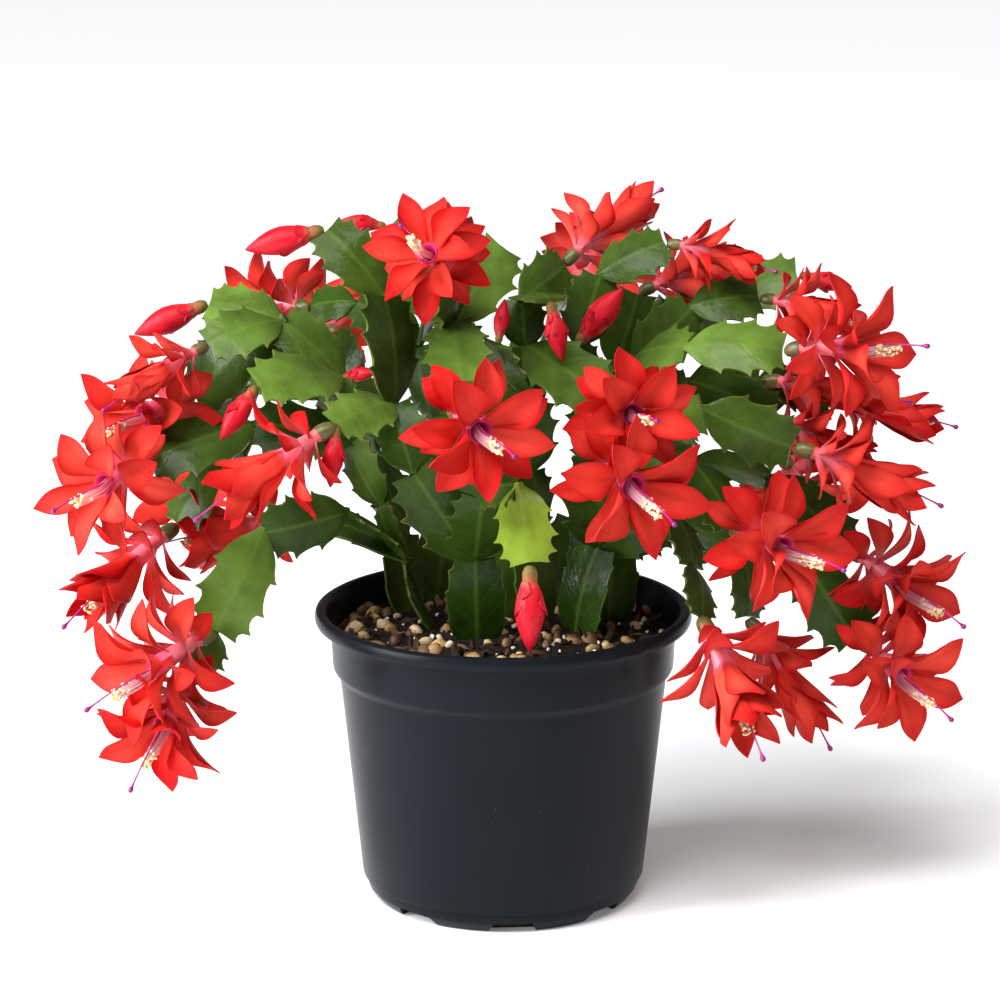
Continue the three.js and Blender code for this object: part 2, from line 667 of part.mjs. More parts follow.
// A bloom in one body: ovary and tube, a whorl of narrow outer petals, a whorl of broad inner ones,
// and the bundle of stamens and the style that stand out of the throat
function makeBloom([joint, compass, rise, open, size], grow) {
  const place = frameOf(joint, compass, rise);
  const skin = new Skin();
  const ring = (radius, height, turn) => (
    ringOf(skin, place, radius * size + grow, height * size, turn));
  const neck = ring(3.3, 7.5, 0);
  const collar = ring(3.7, 12.5, 0);
  const tube = ring(4.2, 23, 0.5);
  const throat = ring(5.6, 28, 0.5);
  const bundleFoot = ring(1.7, 28.6, 0.5);
  const anthers = ring(2.2, 46, 0.5);
  const style = ring(0.6, 49, 0.5);
  skin.point([...neck.ids].reverse(), skin.corner(place(0, 0, SEAT - grow)));
  const outerOpen = open ** 0.4;
  const innerOpen = open ** 1.8;
  const outerLeans = [27 + 42 * outerOpen, 18 + 120 * outerOpen];
  const innerLeans = [14 + 28 * innerOpen, 93 * innerOpen];
  pullWhorl(skin, place, neck, collar, OUTER_PETAL, outerLeans, 14 * open, size, grow);
  skin.band(collar.ids, tube.ids);
  pullWhorl(skin, place, tube, throat, INNER_PETAL, innerLeans, 14 * open, size, grow);
  skin.band(throat.ids, bundleFoot.ids);
  skin.band(bundleFoot.ids, anthers.ids);
  skin.band(anthers.ids, style.ids);
  skin.point(style.ids, skin.corner(place(0, 0, 62 * size + grow)));
  return skin.solid();
}

// A bud: ovary, neck with small scales standing off, and a spindle of wound petals
function makeBud([joint, compass, rise, length], grow) {
  const place = frameOf(joint, compass, rise);
  const skin = new Skin();
  const size = length / 34;
  const ring = (radius, height, turn) => (
    ringOf(skin, place, radius * size + grow, height * size, turn));
  const neck = ring(3.0, 5.5, 0);
  const shoulder = ring(4.8, 11, 0);
  const belly = ring(5.9, 18, 0.35);
  const brow = ring(3.9, 27, 0.7);
  skin.point([...neck.ids].reverse(), skin.corner(place(0, 0, SEAT - grow)));
  pullWhorl(skin, place, neck, shoulder, BUD_SCALE, [26, 34], 0, size, grow, 2);
  skin.band(shoulder.ids, belly.ids);
  skin.band(belly.ids, brow.ids);
  skin.point(brow.ids, skin.corner(place(0, 0, length + grow)));
  return skin.solid();
}

const boxesMeet = (one, other) => {
  const a = one.boundingBox();
  const b = other.boundingBox();
  return [0, 1, 2].every((axis) => a.min[axis] < b.max[axis] && b.min[axis] < a.max[axis]);
};

// Cuts the grown neighbours out of a body and keeps the largest piece
function clearOf(body, grownNeighbours) {
  const near = grownNeighbours.filter((other) => boxesMeet(body, other));
  const cut = near.reduce((rest, other) => rest.subtract(other), body);
  return cut.decompose().sort((a, b) => b.volume() - a.volume())[0];
}

function meshOf(name, solid, look) {
  const { vertProperties, triVerts } = solid.getMesh();
  const geometry = new THREE.BufferGeometry();
  geometry.setAttribute('position', new THREE.BufferAttribute(vertProperties, 3));
  geometry.setIndex(new THREE.BufferAttribute(triVerts, 1));
  geometry.computeVertexNormals();
  const mesh = new THREE.Mesh(geometry, new THREE.MeshStandardMaterial({ ...look, metalness: 0 }));
  mesh.name = name;
  return mesh;
}

// Each body in turn is cleared of the bodies before it, each of them joined with its grown copy
const plant = new THREE.Group();
const grownBodies = [];
const growBody = (name, make, look) => {
  const body = clearOf(make(0), grownBodies);
  plant.add(meshOf(name, body, look));
  grownBodies.push(make(CLEARANCE).add(body));
};

for (const [name, rows] of Object.entries(STEMS)) {
  growBody(name, (grow) => (grow ? makeGrownStem(rows) : makeStem(rows)), COLOURS.segment);
}
const numbered = (word, i) => `${word}_${String(i + 1).padStart(2, '0')}`;
BUDS.forEach((row, i) => {
  growBody(numbered('bud', i), (grow) => makeBud(row, grow), COLOURS.bud);
});
BLOOMS.forEach((row, i) => {
  growBody(numbered('bloom', i), (grow) => makeBloom(row, grow), COLOURS.petal);
});

const potted = new THREE.Group();
potted.add(meshOf('pot', makePot(), COLOURS.pot));
potted.add(meshOf('potting_mix', makeMix(), COLOURS.mix));
potted.add(plant);

export default potted;
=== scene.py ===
import math

import bpy
import numpy as np
from bpy.props import FloatProperty, FloatVectorProperty, IntProperty, PointerProperty
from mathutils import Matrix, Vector, noise


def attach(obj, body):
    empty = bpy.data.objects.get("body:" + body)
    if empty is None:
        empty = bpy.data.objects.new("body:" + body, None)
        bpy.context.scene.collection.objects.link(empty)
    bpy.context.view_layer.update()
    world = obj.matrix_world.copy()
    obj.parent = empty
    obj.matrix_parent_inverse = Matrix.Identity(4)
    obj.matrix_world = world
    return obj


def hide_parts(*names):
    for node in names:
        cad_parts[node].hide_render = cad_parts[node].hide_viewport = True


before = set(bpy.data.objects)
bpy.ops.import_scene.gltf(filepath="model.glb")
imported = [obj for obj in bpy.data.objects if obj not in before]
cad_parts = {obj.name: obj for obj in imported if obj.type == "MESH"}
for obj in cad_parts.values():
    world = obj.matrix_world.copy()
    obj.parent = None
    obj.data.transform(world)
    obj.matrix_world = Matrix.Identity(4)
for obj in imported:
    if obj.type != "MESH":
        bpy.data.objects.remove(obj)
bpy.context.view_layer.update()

bl_info = {
    "name": "Potted Christmas Cactus",
    "version": (1, 0, 0),
    "blender": (4, 5, 0),
    "location": "View3D > Sidebar > Cactus",
    "description": "A Christmas cactus in full bloom, standing in its nursery pot",
    "category": "Add Mesh",
}

# Lengths below are written in millimetres and made metres by MM
MM = 0.001

# The mix draws its random numbers from SEED, the stems from their own, and each bloom and bud from
# one of its own
SEED = 20
STEM_SEED = SEED + 1
BLOOM_SEED_STEP = 10
BUD_SEED = SEED + 1000

# Edges sharper than this many degrees stay sharp
CREASES = {"pot": 28, "mix": 60, "stem": 50, "bud": 40, "bloom": 70}

# Joints of the leafy stems: name, joint it grows from, x, y, z, and the sides its flat face looks
# to (F front, B back, L left, R right, U up). The first joint of a stem is its foot in the mix.
STEMS = {
    "stem_front": [
        ("a0", None, -10, -15, 104, ""),
        ("a1", "a0", -11, -22, 144, "F"),
        ("a2", "a1", -35, -30, 181, "F"),
        ("a3", "a2", -43, -15, 204, "F"),
        ("a4", "a3", -47, -10, 247, "FR"),
        ("a5", "a4", -69, -5, 271, "FU"),
        ("a6", "a3", -64, -38, 201, "UF"),
        ("a7", "a1", -8, -40, 174, "F"),
        ("a8", "a7", -20, -36, 206, "F"),
        ("a9", "a7", 6, -54, 181, "FU"),
        ("a10", "a9", 10, -64, 153, "F"),
    ],
    "stem_left": [
        ("b0", None, -25, 4, 104, ""),
        ("b1", "b0", -39, 2, 137, "L"),
        ("b2", "b1", -48, 8, 158, "LU"),
        ("b3", "b2", -60, 14, 183, "LF"),
        ("b4", "b3", -64, 16, 208, "LF"),
        ("b5", "b4", -88, 20, 230, "FU"),
        ("b6", "b5", -117, 25, 236, "FU"),
        ("b7", "b5", -116, 6, 223, "FU"),
        ("b8", "b4", -96, -8, 210, "FU"),
        ("b9", "b5", -124, 30, 197, "FL"),
        ("b10", "b3", -99, 8, 190, "FU"),
        ("b11", "b10", -139, -8, 179, "UF"),
        ("b12", "b10", -111, 20, 172, "FU"),
        ("b13", "b12", -130, 14, 148, "FL"),
        ("c1", "b1", -62, -8, 159, "U"),
        ("c2", "c1", -94, -20, 154, "F"),
        ("c3", "c2", -113, -26, 115, "F"),
        ("c4", "b1", -80, 24, 148, "U"),
        ("c5", "c3", -122, -17, 98, "F"),
    ],
    "stem_middle": [
        ("d0", None, -4, 13, 104, ""),
        ("d1", "d0", -5, 18, 141, "F"),
        ("d2", "d1", -9, 22, 171, "F"),
        ("d3", "d2", -16, 15, 203, "FL"),
        ("d4", "d3", -20, 5, 233, "F"),
        ("d5", "d4", -21, -14, 253, "FU"),
        ("d6", "d4", -16, -30, 215, "FU"),
        ("d7", "d4", 0, 25, 259, "F"),
        ("d8", "d4", -46, 20, 268, "F"),
    ],
    "stem_crown": [
        ("e0", None, 13, 5, 104, ""),
        ("e1", "e0", 10, 6, 141, "FR"),
        ("e2", "e1", 11, 8, 172, "FR"),
        ("e3", "e2", 9, 5, 203, "F"),
        ("e4", "e3", 9, 3, 223, "F"),
        ("e5", "e4", 7, 10, 241, "F"),
        ("e6", "e5", 24, 24, 252, "F"),
        ("e7", "e3", -2, -10, 227, "FL"),
        ("e8", "e5", 18, -10, 244, "U"),
        ("e9", "e4", 42, -25, 204, "UF"),
    ],
    "stem_right": [
        ("f0", None, 29, -6, 104, ""),
        ("f1", "f0", 38, -7, 145, "FL"),
        ("f2", "f1", 38, 0, 174, "FR"),
        ("f3", "f2", 34, 5, 200, "F"),
        ("f4", "f3", 29, 8, 223, "FR"),
        ("f5", "f4", 38, 12, 250, "F"),
        ("f6", "f5", 64, 15, 262, "FU"),
        ("f7", "f1", 36, -36, 189, "UF"),
        ("f8", "f1", 65, -12, 161, "F"),
        ("f9", "f2", 73, -12, 180, "UF"),
        ("f10", "f9", 88, -35, 159, "U"),
        ("f11", "f2", 59, -10, 195, "F"),
        ("f12", "f11", 78, -20, 203, "F"),
        ("f13", "f12", 112, -28, 190, "F"),
        ("f14", "f8", 73, -30, 143, "FR"),
        ("f15", "f14", 76, -46, 127, "FR"),
    ],
    "stem_far_right": [
        ("g0", None, 42, 13, 104, ""),
        ("g1", "g0", 44, 24, 138, "F"),
        ("g2", "g1", 50, 22, 169, "F"),
        ("g3", "g2", 54, 17, 197, "FR"),
        ("g4", "g3", 52, 10, 217, "F"),
        ("g5", "g4", 74, 12, 237, "F"),
        ("g6", "g5", 101, 15, 240, "FU"),
        ("g7", "g4", 72, -8, 225, "FU"),
        ("g8", "g7", 109, -14, 225, "FU"),
        ("g9", "g3", 74, 20, 205, "FU"),
        ("g10", "g9", 102, 18, 206, "FU"),
        ("g11", "g10", 130, 38, 193, "UF"),
        ("g12", "g2", 77, 30, 171, "UF"),
        ("g13", "g12", 107, 25, 164, "UB"),
        ("g14", "g13", 117, 4, 140, "FR"),
        ("g15", "g14", 141, -2, 105, "F"),
        ("g16", "g13", 137, 10, 139, "FU"),
        ("g17", "g1", 68, 30, 145, "F"),
        ("g18", "g17", 95, 22, 136, "UF"),
        ("g19", "g18", 98, 12, 110, "FR"),
        ("g20", "g9", 105, -4, 196, "FU"),
    ],
    "stem_right_back": [
        ("h0", None, 30, 31, 104, ""),
        ("h1", "h0", 34, 42, 142, "BR"),
        ("h2", "h1", 38, 42, 178, "BR"),
        ("h3", "h2", 45, 36, 208, "F"),
        ("h4", "h3", 54, 38, 238, "F"),
        ("h5", "h3", 83, 42, 232, "UF"),
        ("h6", "h5", 118, 38, 245, "UF"),
        ("h7", "h2", 70, 68, 190, "UB"),
        ("h8", "h7", 98, 84, 184, "UB"),
        ("h9", "h8", 116, 92, 158, "RB"),
    ],
    "stem_back_left": [
        ("i0", None, -38, 21, 104, ""),
        ("i1", "i0", -40, 42, 138, "BL"),
        ("i2", "i1", -52, 58, 168, "BL"),
        ("i3", "i2", -76, 72, 188, "UB"),
        ("i4", "i3", -104, 84, 190, "UB"),
        ("i5", "i4", -122, 94, 164, "LB"),
        ("i6", "i2", -60, 84, 190, "UL"),
        ("i7", "i6", -70, 100, 208, "UL"),
        ("i8", "i3", -92, 58, 212, "UL"),
    ],
    "stem_back": [
        ("j0", None, -2, 50, 104, ""),
        ("j1", "j0", -6, 60, 142, "B"),
        ("j2", "j1", -10, 76, 176, "B"),
        ("j3", "j2", -16, 98, 202, "B"),
        ("j4", "j3", -20, 120, 204, "UL"),
        ("j5", "j4", -22, 134, 176, "B"),
        ("j6", "j2", 16, 84, 206, "B"),
        ("j7", "j6", 30, 106, 226, "UB"),
    ],
    "stem_back_right": [
        ("k0", None, 24, 48, 104, ""),
        ("k1", "k0", 30, 66, 138, "B"),
        ("k2", "k1", 44, 88, 164, "BR"),
        ("k3", "k2", 62, 108, 178, "UB"),
        ("k4", "k3", 76, 124, 154, "BR"),
        ("k5", "k2", 26, 112, 178, "UB"),
    ],
    "stem_top_back": [
        ("l0", None, -29, 43, 104, ""),
        ("l1", "l0", -22, 48, 142, "F"),
        ("l2", "l1", -26, 52, 180, "F"),
        ("l3", "l2", -34, 52, 214, "FL"),
        ("l4", "l3", -60, 52, 231, "UF"),
        ("l5", "l4", -78, 56, 228, "UF"),
        ("l6", "l3", -20, 74, 236, "UB"),
    ],
}

# Blooms: joint, compass angle of the aim (0 right, 90 back, 180 left, 270 front), its rise above
# level, how far the petals are open (0 shut, 1 rolled back), and the size
BLOOMS = [
    ("a8", 293, -4, 0.95, 1.04),
    ("f7", 296, -12, 0.95, 1.08),
    ("f10", 307, -2, 0.92, 1.1),
    ("d5", 248, 32, 0.95, 0.92),
    ("e9", 286, 8, 0.9, 0.94),
    ("f15", 297, -42, 0.4, 1.1),
    ("a6", 200, -30, 0.45, 1.1),
    ("g8", 328, 8, 0.95, 1.04),
    ("f13", 354, -21, 0.3, 1.04),
    ("e6", 38, 26, 0.35, 0.95),
    ("f6", 345, -12, 0.1, 0.76),
    ("g10", 340, -4, 0.2, 1.04),
    ("g11", 350, -9, 0.3, 0.9),
    ("g16", 318, -20, 0.9, 1.04),
    ("g15", 306, -19, 0.95, 1),
    ("g19", 335, -54, 0.15, 1.05),
    ("g6", 338, -9, 0.25, 0.8),
    ("h4", 14, 11, 0.3, 0.88),
    ("b9", 232, -5, 0.85, 1.04),
    ("b11", 237, -7, 0.95, 1),
    ("b13", 222, -29, 0.4, 1.1),
    ("c3", 220, -18, 0.95, 1.08),
    ("c5", 244, -36, 0.9, 1.04),
    ("b7", 213, -24, 0.15, 0.86),
    ("c4", 190, -8, 0.6, 1.04),
    ("l5", 142, -4, 0.85, 0.88),
    ("l6", 104, 0, 0.8, 1),
    ("i5", 130, -52, 0.9, 1.04),
    ("i7", 110, -5, 0.95, 1.08),
    ("j5", 88, -50, 0.5, 1.04),
    ("j7", 66, 12, 0.95, 1),
    ("h9", 48, -50, 0.9, 1.04),
    ("g20", 344, -20, 0.22, 0.84),
]

# Buds: joint, compass angle and rise of the aim, and the length from the stalk to the point
BUDS = [
    ("a5", 182, -14, 32),
    ("a10", 272, -84, 34),
    ("f4", 330, 50, 32),
    ("b6", 185, -22, 32),
    ("b8", 212, -50, 26),
    ("a6", 250, -74, 24),
    ("e8", 318, -74, 24),
    ("h6", 355, -12, 22),
    ("d8", 178, 8, 18),
    ("e7", 70, 66, 18),
    ("b4", 330, 14, 17),
    ("g15", 30, 24, 20),
    ("k4", 60, -56, 30),
    ("i8", 150, 14, 26),
]

# How light a segment is, from 0 for old dark green to 1 for fresh yellow green paled with painted sheen,
# where it stands out
SEGMENT_TINTS = {
    "a1": 0.1, "a2": 0.25, "a3": 0.2, "a4": 0.25, "a5": 0.45, "a6": 0.7, "a7": 0.2, "a9": 0.2, "a10": 0.92,
    "b1": 0.2, "b2": 0.3, "b5": 0.6, "b6": 0.75, "b7": 0.6, "b8": 0.75, "b9": 0.35, "c1": 0.2, "c2": 0.3,
    "c3": 0.66, "d6": 0.7, "d7": 0.7, "d8": 0.5, "e6": 0.45, "e9": 0.5, "f1": 0.15, "f6": 0.4, "f12": 0.65,
    "g6": 0.4, "g7": 0.6, "g8": 0.7, "h6": 0.7, "g14": 0.5,
}

# Half outline of a segment from its neck to its cut-off tip: share of the length, share of the half
# width at the teeth, and the same with the teeth smoothed away
SEGMENT_OUTLINE = [
    (-0.05, 0.14, 0.14),
    (0.0, 0.2, 0.2),
    (0.05, 0.36, 0.36),
    (0.1, 0.54, 0.54),
    (0.16, 0.7, 0.7),
    (0.22, 0.81, 0.81),
    (0.28, 0.88, 0.87),
    (0.335, 0.98, 0.9),
    (0.37, 1.1, 0.92),
    (0.385, 0.9, 0.92),
    (0.44, 0.88, 0.93),
    (0.51, 0.92, 0.94),
    (0.58, 0.99, 0.94),
    (0.64, 1.08, 0.94),
    (0.68, 1.2, 0.93),
    (0.692, 0.95, 0.92),
    (0.735, 0.87, 0.9),
    (0.79, 0.87, 0.87),
    (0.845, 0.95, 0.84),
    (0.885, 1.06, 0.82),
    (0.9, 0.8, 0.79),
    (0.93, 0.7, 0.73),
    (0.965, 0.69, 0.69),
    (0.99, 0.72, 0.66),
    (1.01, 0.74, 0.62),
]
SEGMENT_COLUMNS = 10

# The bow of a segment as a share of its length, its half width as a fixed part and a share of its
# length, and the widest part of a tooth that patterns count as flesh
SEGMENT_BOW = 0.06
SEGMENT_HALF_WIDTH = 6
SEGMENT_WIDENING = 0.15
WIDEST_TOOTH = 1.1

# How segments differ: least and most curl across, the most twist either way in radians, least and most
# tint where SEGMENT_TINTS gives none, and how worn the teeth of the lowest ones are
SEGMENT_CURL = (-0.06, 0.1)
SEGMENT_TWIST = 0.35
SEGMENT_TINT = (0.2, 0.6)
SEGMENT_WEAR = 0.7

# Half outline of a petal: share of the length and share of the half width
PETAL_OUTLINE = [
    (0.0, 0.3), (0.1, 0.4), (0.25, 0.62), (0.4, 0.88), (0.5, 0.99), (0.58, 1.0), (0.68, 0.92),
    (0.78, 0.74), (0.86, 0.53), (0.92, 0.33), (0.965, 0.15), (1.0, 0.02),
]
PETAL_ROWS = 14
PETAL_COLUMNS = 8

# Steps along which the bend of a petal is added up
PETAL_STEPS = 40

# How petals stray from their whorl: turn in radians, lean in degrees, least and most share of length
# and width, cupping, twist in radians and tint
STRAY_TURN = 0.2
STRAY_LEAN = 11
STRAY_LENGTH = (0.86, 1.0)
STRAY_WIDTH = (0.84, 1.14)
STRAY_CUP = 0.14
STRAY_TWIST = 0.5
STRAY_TINT = 0.3

# Rings of a bloom's ovary and tube, and of its throat: height and radius
TUBE_RINGS = [
    (0.4, 1.2), (1.4, 2.1), (3.2, 2.7), (5.4, 2.9), (7.2, 2.6), (8.4, 2.3), (12.5, 2.6), (17.0, 3.1),
    (22.0, 3.6), (26.0, 4.1), (28.2, 4.4), (27.6, 3.8), (25.5, 2.7), (23.0, 2.0),
]
TUBE_SIDES = 20
OVARY_TOP = 7.4
OVARY_SWELL = 0.25
OVARY_SIDES = 16

# How high the tube arches, over which length, and how high up it the stamens and the style start
TUBE_ARCH = 1.2
TUBE_LENGTH = 30
THROAT_FLOOR = 22

# Stamens: the turn from each to the next in radians, how far out the outermost starts, how far out the
# innermost ends and what is added for the outermost, how high they reach, and how they sag
GOLDEN_ANGLE = 2.4
STAMEN_START = 2.2
STAMEN_END = 0.5
STAMEN_SPREAD = 1.4
STAMEN_REACH = (38, 48)
STAMEN_SAG = 1.6
FILAMENT_RADIUS = 0.27
FILAMENT_RINGS = 7
FILAMENT_SIDES = 5
ANTHER_SIZE = 0.95

# The style and its knob: how far they reach from the throat, how high the style bends, and its profile
# as pairs of share of the reach and radius
STYLE_REACH = 38
STYLE_BEND = 1.3
STYLE_SIDES = 8
STYLE_PROFILE = [
    (0, 0.45), (0.15, 0.42), (0.3, 0.4), (0.45, 0.38), (0.6, 0.36), (0.75, 0.35), (0.88, 0.36), (0.93, 0.5),
    (0.955, 0.95), (0.975, 1.1), (0.99, 0.85), (1.0, 0.3),
]

# Rings of a bud of BUD_LENGTH, stalk to point: height, radius and depth of the wound folds; then how
# many folds there are, and their winding in turns of a fold for each millimetre
BUD_LENGTH = 34
BUD_RINGS = [
    (0.4, 1.2, 0.0), (1.4, 2.2, 0.0), (3.6, 3.0, 0.0), (5.6, 2.9, 0.0), (7.0, 2.8, 0.01), (9.0, 3.7, 0.03),
    (11.5, 4.7, 0.05), (14.5, 5.5, 0.06), (18.0, 5.9, 0.07), (21.5, 5.5, 0.08), (24.5, 4.7, 0.09),
    (27.0, 3.8, 0.1), (29.5, 2.7, 0.1), (31.5, 1.7, 0.1), (33.0, 0.8, 0.05), (33.8, 0.3, 0.0),
]
BUD_SIDES = 28
BUD_FOLDS = 3
BUD_WINDING = 0.035

# Sides of the round pot, and a drain notch at its foot: from which radius to which, its height, its
# width below and above, and how far the first is turned from the front, in degrees
POT_SIDES = 160
NOTCH_INNER = 46
NOTCH_OUTER = 60
NOTCH_HEIGHT = 4.5
NOTCH_WIDTH = 23
NOTCH_TOP_WIDTH = 15
NOTCH_TURN = 4

# The top of the mix: its sides and radius, the number of rings in it and the step between them, how
# far out grains lie, the room they leave round a stem's foot, and the height that none of them passes
MIX_SIDES = 120
MIX_RADIUS = 66
MIX_RINGS = 38
MIX_RING_STEP = 1.7
GRAIN_RADIUS = 64.5
FOOT_ROOM = 5
GRAIN_TOP = 112

# The camera's place, and the width of its sensor
CAMERA_PLACE = (-1.3, -1442.6, 526.7)
SENSOR_WIDTH = 36

# Which way each letter in STEMS looks
SIDES = {"F": (0, -1, 0), "B": (0, 1, 0), "L": (-1, 0, 0), "R": (1, 0, 0), "U": (0, 0, 1)}

joint_point = {
    name: np.array((x, y, z)) * MM
    for rows in STEMS.values()
    for name, _, x, y, z, _ in rows
}


class PotSizes(bpy.types.PropertyGroup):
    """Sizes and colour of the nursery pot"""

    rim_radius: FloatProperty(
        name="Rim Radius", description="Outer radius of the rolled lip", default=75 * MM, unit="LENGTH")
    rim_top: FloatProperty(
        name="Rim Top", description="Height of the rim's top", default=118.5 * MM, unit="LENGTH")
    collar_radius: FloatProperty(
        name="Collar Radius", description="Outer radius of the collar", default=69 * MM, unit="LENGTH")
    base_radius: FloatProperty(
        name="Base Radius", description="Radius of the flat underside", default=51 * MM, unit="LENGTH")
    wall: FloatProperty(
        name="Wall", description="Thickness of the moulded wall", default=1.6 * MM, unit="LENGTH")
    notches: IntProperty(name="Notches", description="Drain notches round the foot", default=8, min=0)
    colour: FloatVectorProperty(
        name="Plastic", description="Colour of the pot", subtype="COLOR", default=(0.0052, 0.0066, 0.0088))


class MixSizes(bpy.types.PropertyGroup):
    """Sizes of the potting mix and what lies on it"""

    edge_height: FloatProperty(
        name="Edge Height", description="Height of the mix at the wall", default=109 * MM, unit="LENGTH")
    crown_height: FloatProperty(
        name="Crown Height", description="Height of the mix in the middle", default=111.2 * MM, unit="LENGTH")
    gravel: IntProperty(name="Gravel", description="Number of pebbles", default=145)
    perlite: IntProperty(name="Perlite", description="Number of white grains", default=110)
    bark: IntProperty(name="Bark", description="Number of bark chips", default=260)
    crumbs: IntProperty(name="Crumbs", description="Number of peat crumbs", default=620)


class SegmentSizes(bpy.types.PropertyGroup):
    """Sizes and colours of the stem segments"""

    rib: FloatProperty(
        name="Rib", description="Half thickness at the rib", default=1.7 * MM, unit="LENGTH")
    edge: FloatProperty(
        name="Edge", description="Thickness of the leafy edge", default=0.9 * MM, unit="LENGTH")
    dark: FloatVectorProperty(
        name="Dark Green", description="Old segments", subtype="COLOR", default=(0.004, 0.02, 0.0006))
    light: FloatVectorProperty(
        # Light Green is partly the colour of fresh growth and partly painted sheen: it is paled and blued to
        # stand for the shine of waxy leaves turned up to the light
        name="Light Green", description="Fresh segments", subtype="COLOR", default=(0.118, 0.2, 0.028))


class BloomSizes(bpy.types.PropertyGroup):
    """Sizes and colours of the blooms and buds"""

    outer_length: FloatProperty(
        name="Outer Petal", description="Length of an outer petal", default=26 * MM, unit="LENGTH")
    inner_length: FloatProperty(
        name="Inner Petal", description="Length of an inner petal", default=29 * MM, unit="LENGTH")
    petal_thickness: FloatProperty(
        name="Petal Thickness", description="Thickness of a petal", default=0.45 * MM, unit="LENGTH")
    stamens: IntProperty(name="Stamens", description="Filaments in the bundle", default=30)
    petal: FloatVectorProperty(
        name="Petal Red", description="Main petal colour", subtype="COLOR", default=(0.6, 0.005, 0.005))
    # Petal Orange is painted light: the glow of petals with light shining through them, given to some petals
    # at random and to a painted highlight down each petal
    glow: FloatVectorProperty(
        name="Petal Orange", description="Colour of thin, lit petals", subtype="COLOR",
        default=(0.82, 0.084, 0.052))
    throat: FloatVectorProperty(
        name="Throat Magenta", description="Colour of the throat", subtype="COLOR",
        default=(0.5, 0.006, 0.12))


class StageSizes(bpy.types.PropertyGroup):
    """Camera and floor"""

    lens: FloatProperty(
        name="Lens", description="Focal length on a 36 mm sensor", default=135.6, unit="CAMERA")
    pitch: FloatProperty(
        name="Pitch", description="Angle of the view below level", default=math.radians(14.19),
        subtype="ANGLE")
    floor: FloatVectorProperty(
        name="Floor", description="Colour of the floor", subtype="COLOR", default=(0.93, 0.93, 0.93))


class Look:
    """A node material, put together step by step"""

    def __init__(self, name, **flat):
        self.material = bpy.data.materials.new(name)
        self.material.use_nodes = True
        self.tree = self.material.node_tree
        self.shader = self.tree.nodes["Principled BSDF"]
        for socket, value in flat.items():
            self.shader.inputs[socket.replace("_", " ")].default_value = value
        coordinates = self.tree.nodes.new("ShaderNodeTexCoord")
        self.place = coordinates.outputs["Object"]
        split = self.tree.nodes.new("ShaderNodeSeparateXYZ")
        self.tree.links.new(coordinates.outputs["UV"], split.inputs[0])
        self.along, self.across = split.outputs["X"], split.outputs["Y"]
        self.flow = coordinates.outputs["UV"]

    def add(self, kind, inputs=(), **values):
        """Adds a node; its inputs are sockets to link or values to set"""
        node = self.tree.nodes.new(kind)
        for key, value in values.items():
            setattr(node, key, value)
        for socket, value in dict(inputs).items():
            if isinstance(value, bpy.types.NodeSocket):
                self.tree.links.new(value, node.inputs[socket])
            else:
                node.inputs[socket].default_value = value
        return node

    def tint(self):
        """The number that each copied shape carries to vary its colour"""
        return self.add("ShaderNodeAttribute", attribute_name="tint").outputs["Fac"]

    def off_middle(self):
        """How far a place is from the middle line of its petal or segment, up to 0.5"""
        return self.maths("ABSOLUTE", self.maths("SUBTRACT", self.across, 0.5))

    def stretched(self, source, scale):
        """Coordinates scaled along each axis, which draws a pattern out"""
        return self.add("ShaderNodeMapping", {"Vector": source, "Scale": scale}).outputs[0]

    def noise(self, scale, detail=3.0, source=None):
        """Soft random levels"""
        values = {"Vector": source or self.place, "Scale": scale, "Detail": detail}
        return self.add("ShaderNodeTexNoise", values).outputs["Fac"]

    def cells(self, scale):
        """The distance to the nearest of scattered points"""
        values = {"Vector": self.place, "Scale": scale}
        return self.add("ShaderNodeTexVoronoi", values).outputs["Distance"]

    def ramp(self, factor, *stops):
        """A colour for each factor, from stops of (factor, colour)"""
        node = self.add("ShaderNodeValToRGB", {"Fac": factor})
        elements = node.color_ramp.elements
        while len(elements) < len(stops):
            elements.new(0.5)
        for element, (position, colour) in zip(elements, stops):
            element.position = position
            element.color = (*colour, 1)
        return node.outputs["Color"]

    def grey(self, factor, *stops):
        """A level for each factor, from stops of (factor, level)"""
        return self.ramp(factor, *((position, (level,) * 3) for position, level in stops))

    def mix(self, factor, low, high, blend="MIX"):
        """Mixes two colours, each given as a socket or as three numbers"""
        ends = [end if isinstance(end, bpy.types.NodeSocket) else (*end, 1.0) for end in (low, high)]
        values = {"Factor": factor, 6: ends[0], 7: ends[1]}
        return self.add("ShaderNodeMix", values, data_type="RGBA", blend_type=blend).outputs[2]

    def maths(self, operation, first, second=0.0):
        return self.add("ShaderNodeMath", {0: first, 1: second}, operation=operation).outputs[0]

    def times(self, first, second):
        return self.maths("MULTIPLY", first, second)

    def bump(self, height, strength, millimetres):
        """Fine relief, too small to be modelled"""
        values = {"Height": height, "Strength": strength, "Distance": millimetres * MM}
        node = self.add("ShaderNodeBump", values)
        self.tree.links.new(node.outputs[0], self.shader.inputs["Normal"])

    def fleshy(self, weight, radius, millimetres):
        """Lets light soak in a little, as through petals and leaves"""
        self.shader.inputs["Subsurface Weight"].default_value = weight
        self.shader.inputs["Subsurface Radius"].default_value = radius
        self.shader.inputs["Subsurface Scale"].default_value = millimetres * MM

    def colour(self, value):
        self.tree.links.new(value, self.shader.inputs["Base Color"])

    def roughness(self, value):
        self.tree.links.new(value, self.shader.inputs["Roughness"])


def shaded(colour, factor):
    """The same colour, darker or lighter"""
    return tuple(min(1.0, channel * factor) for channel in colour)


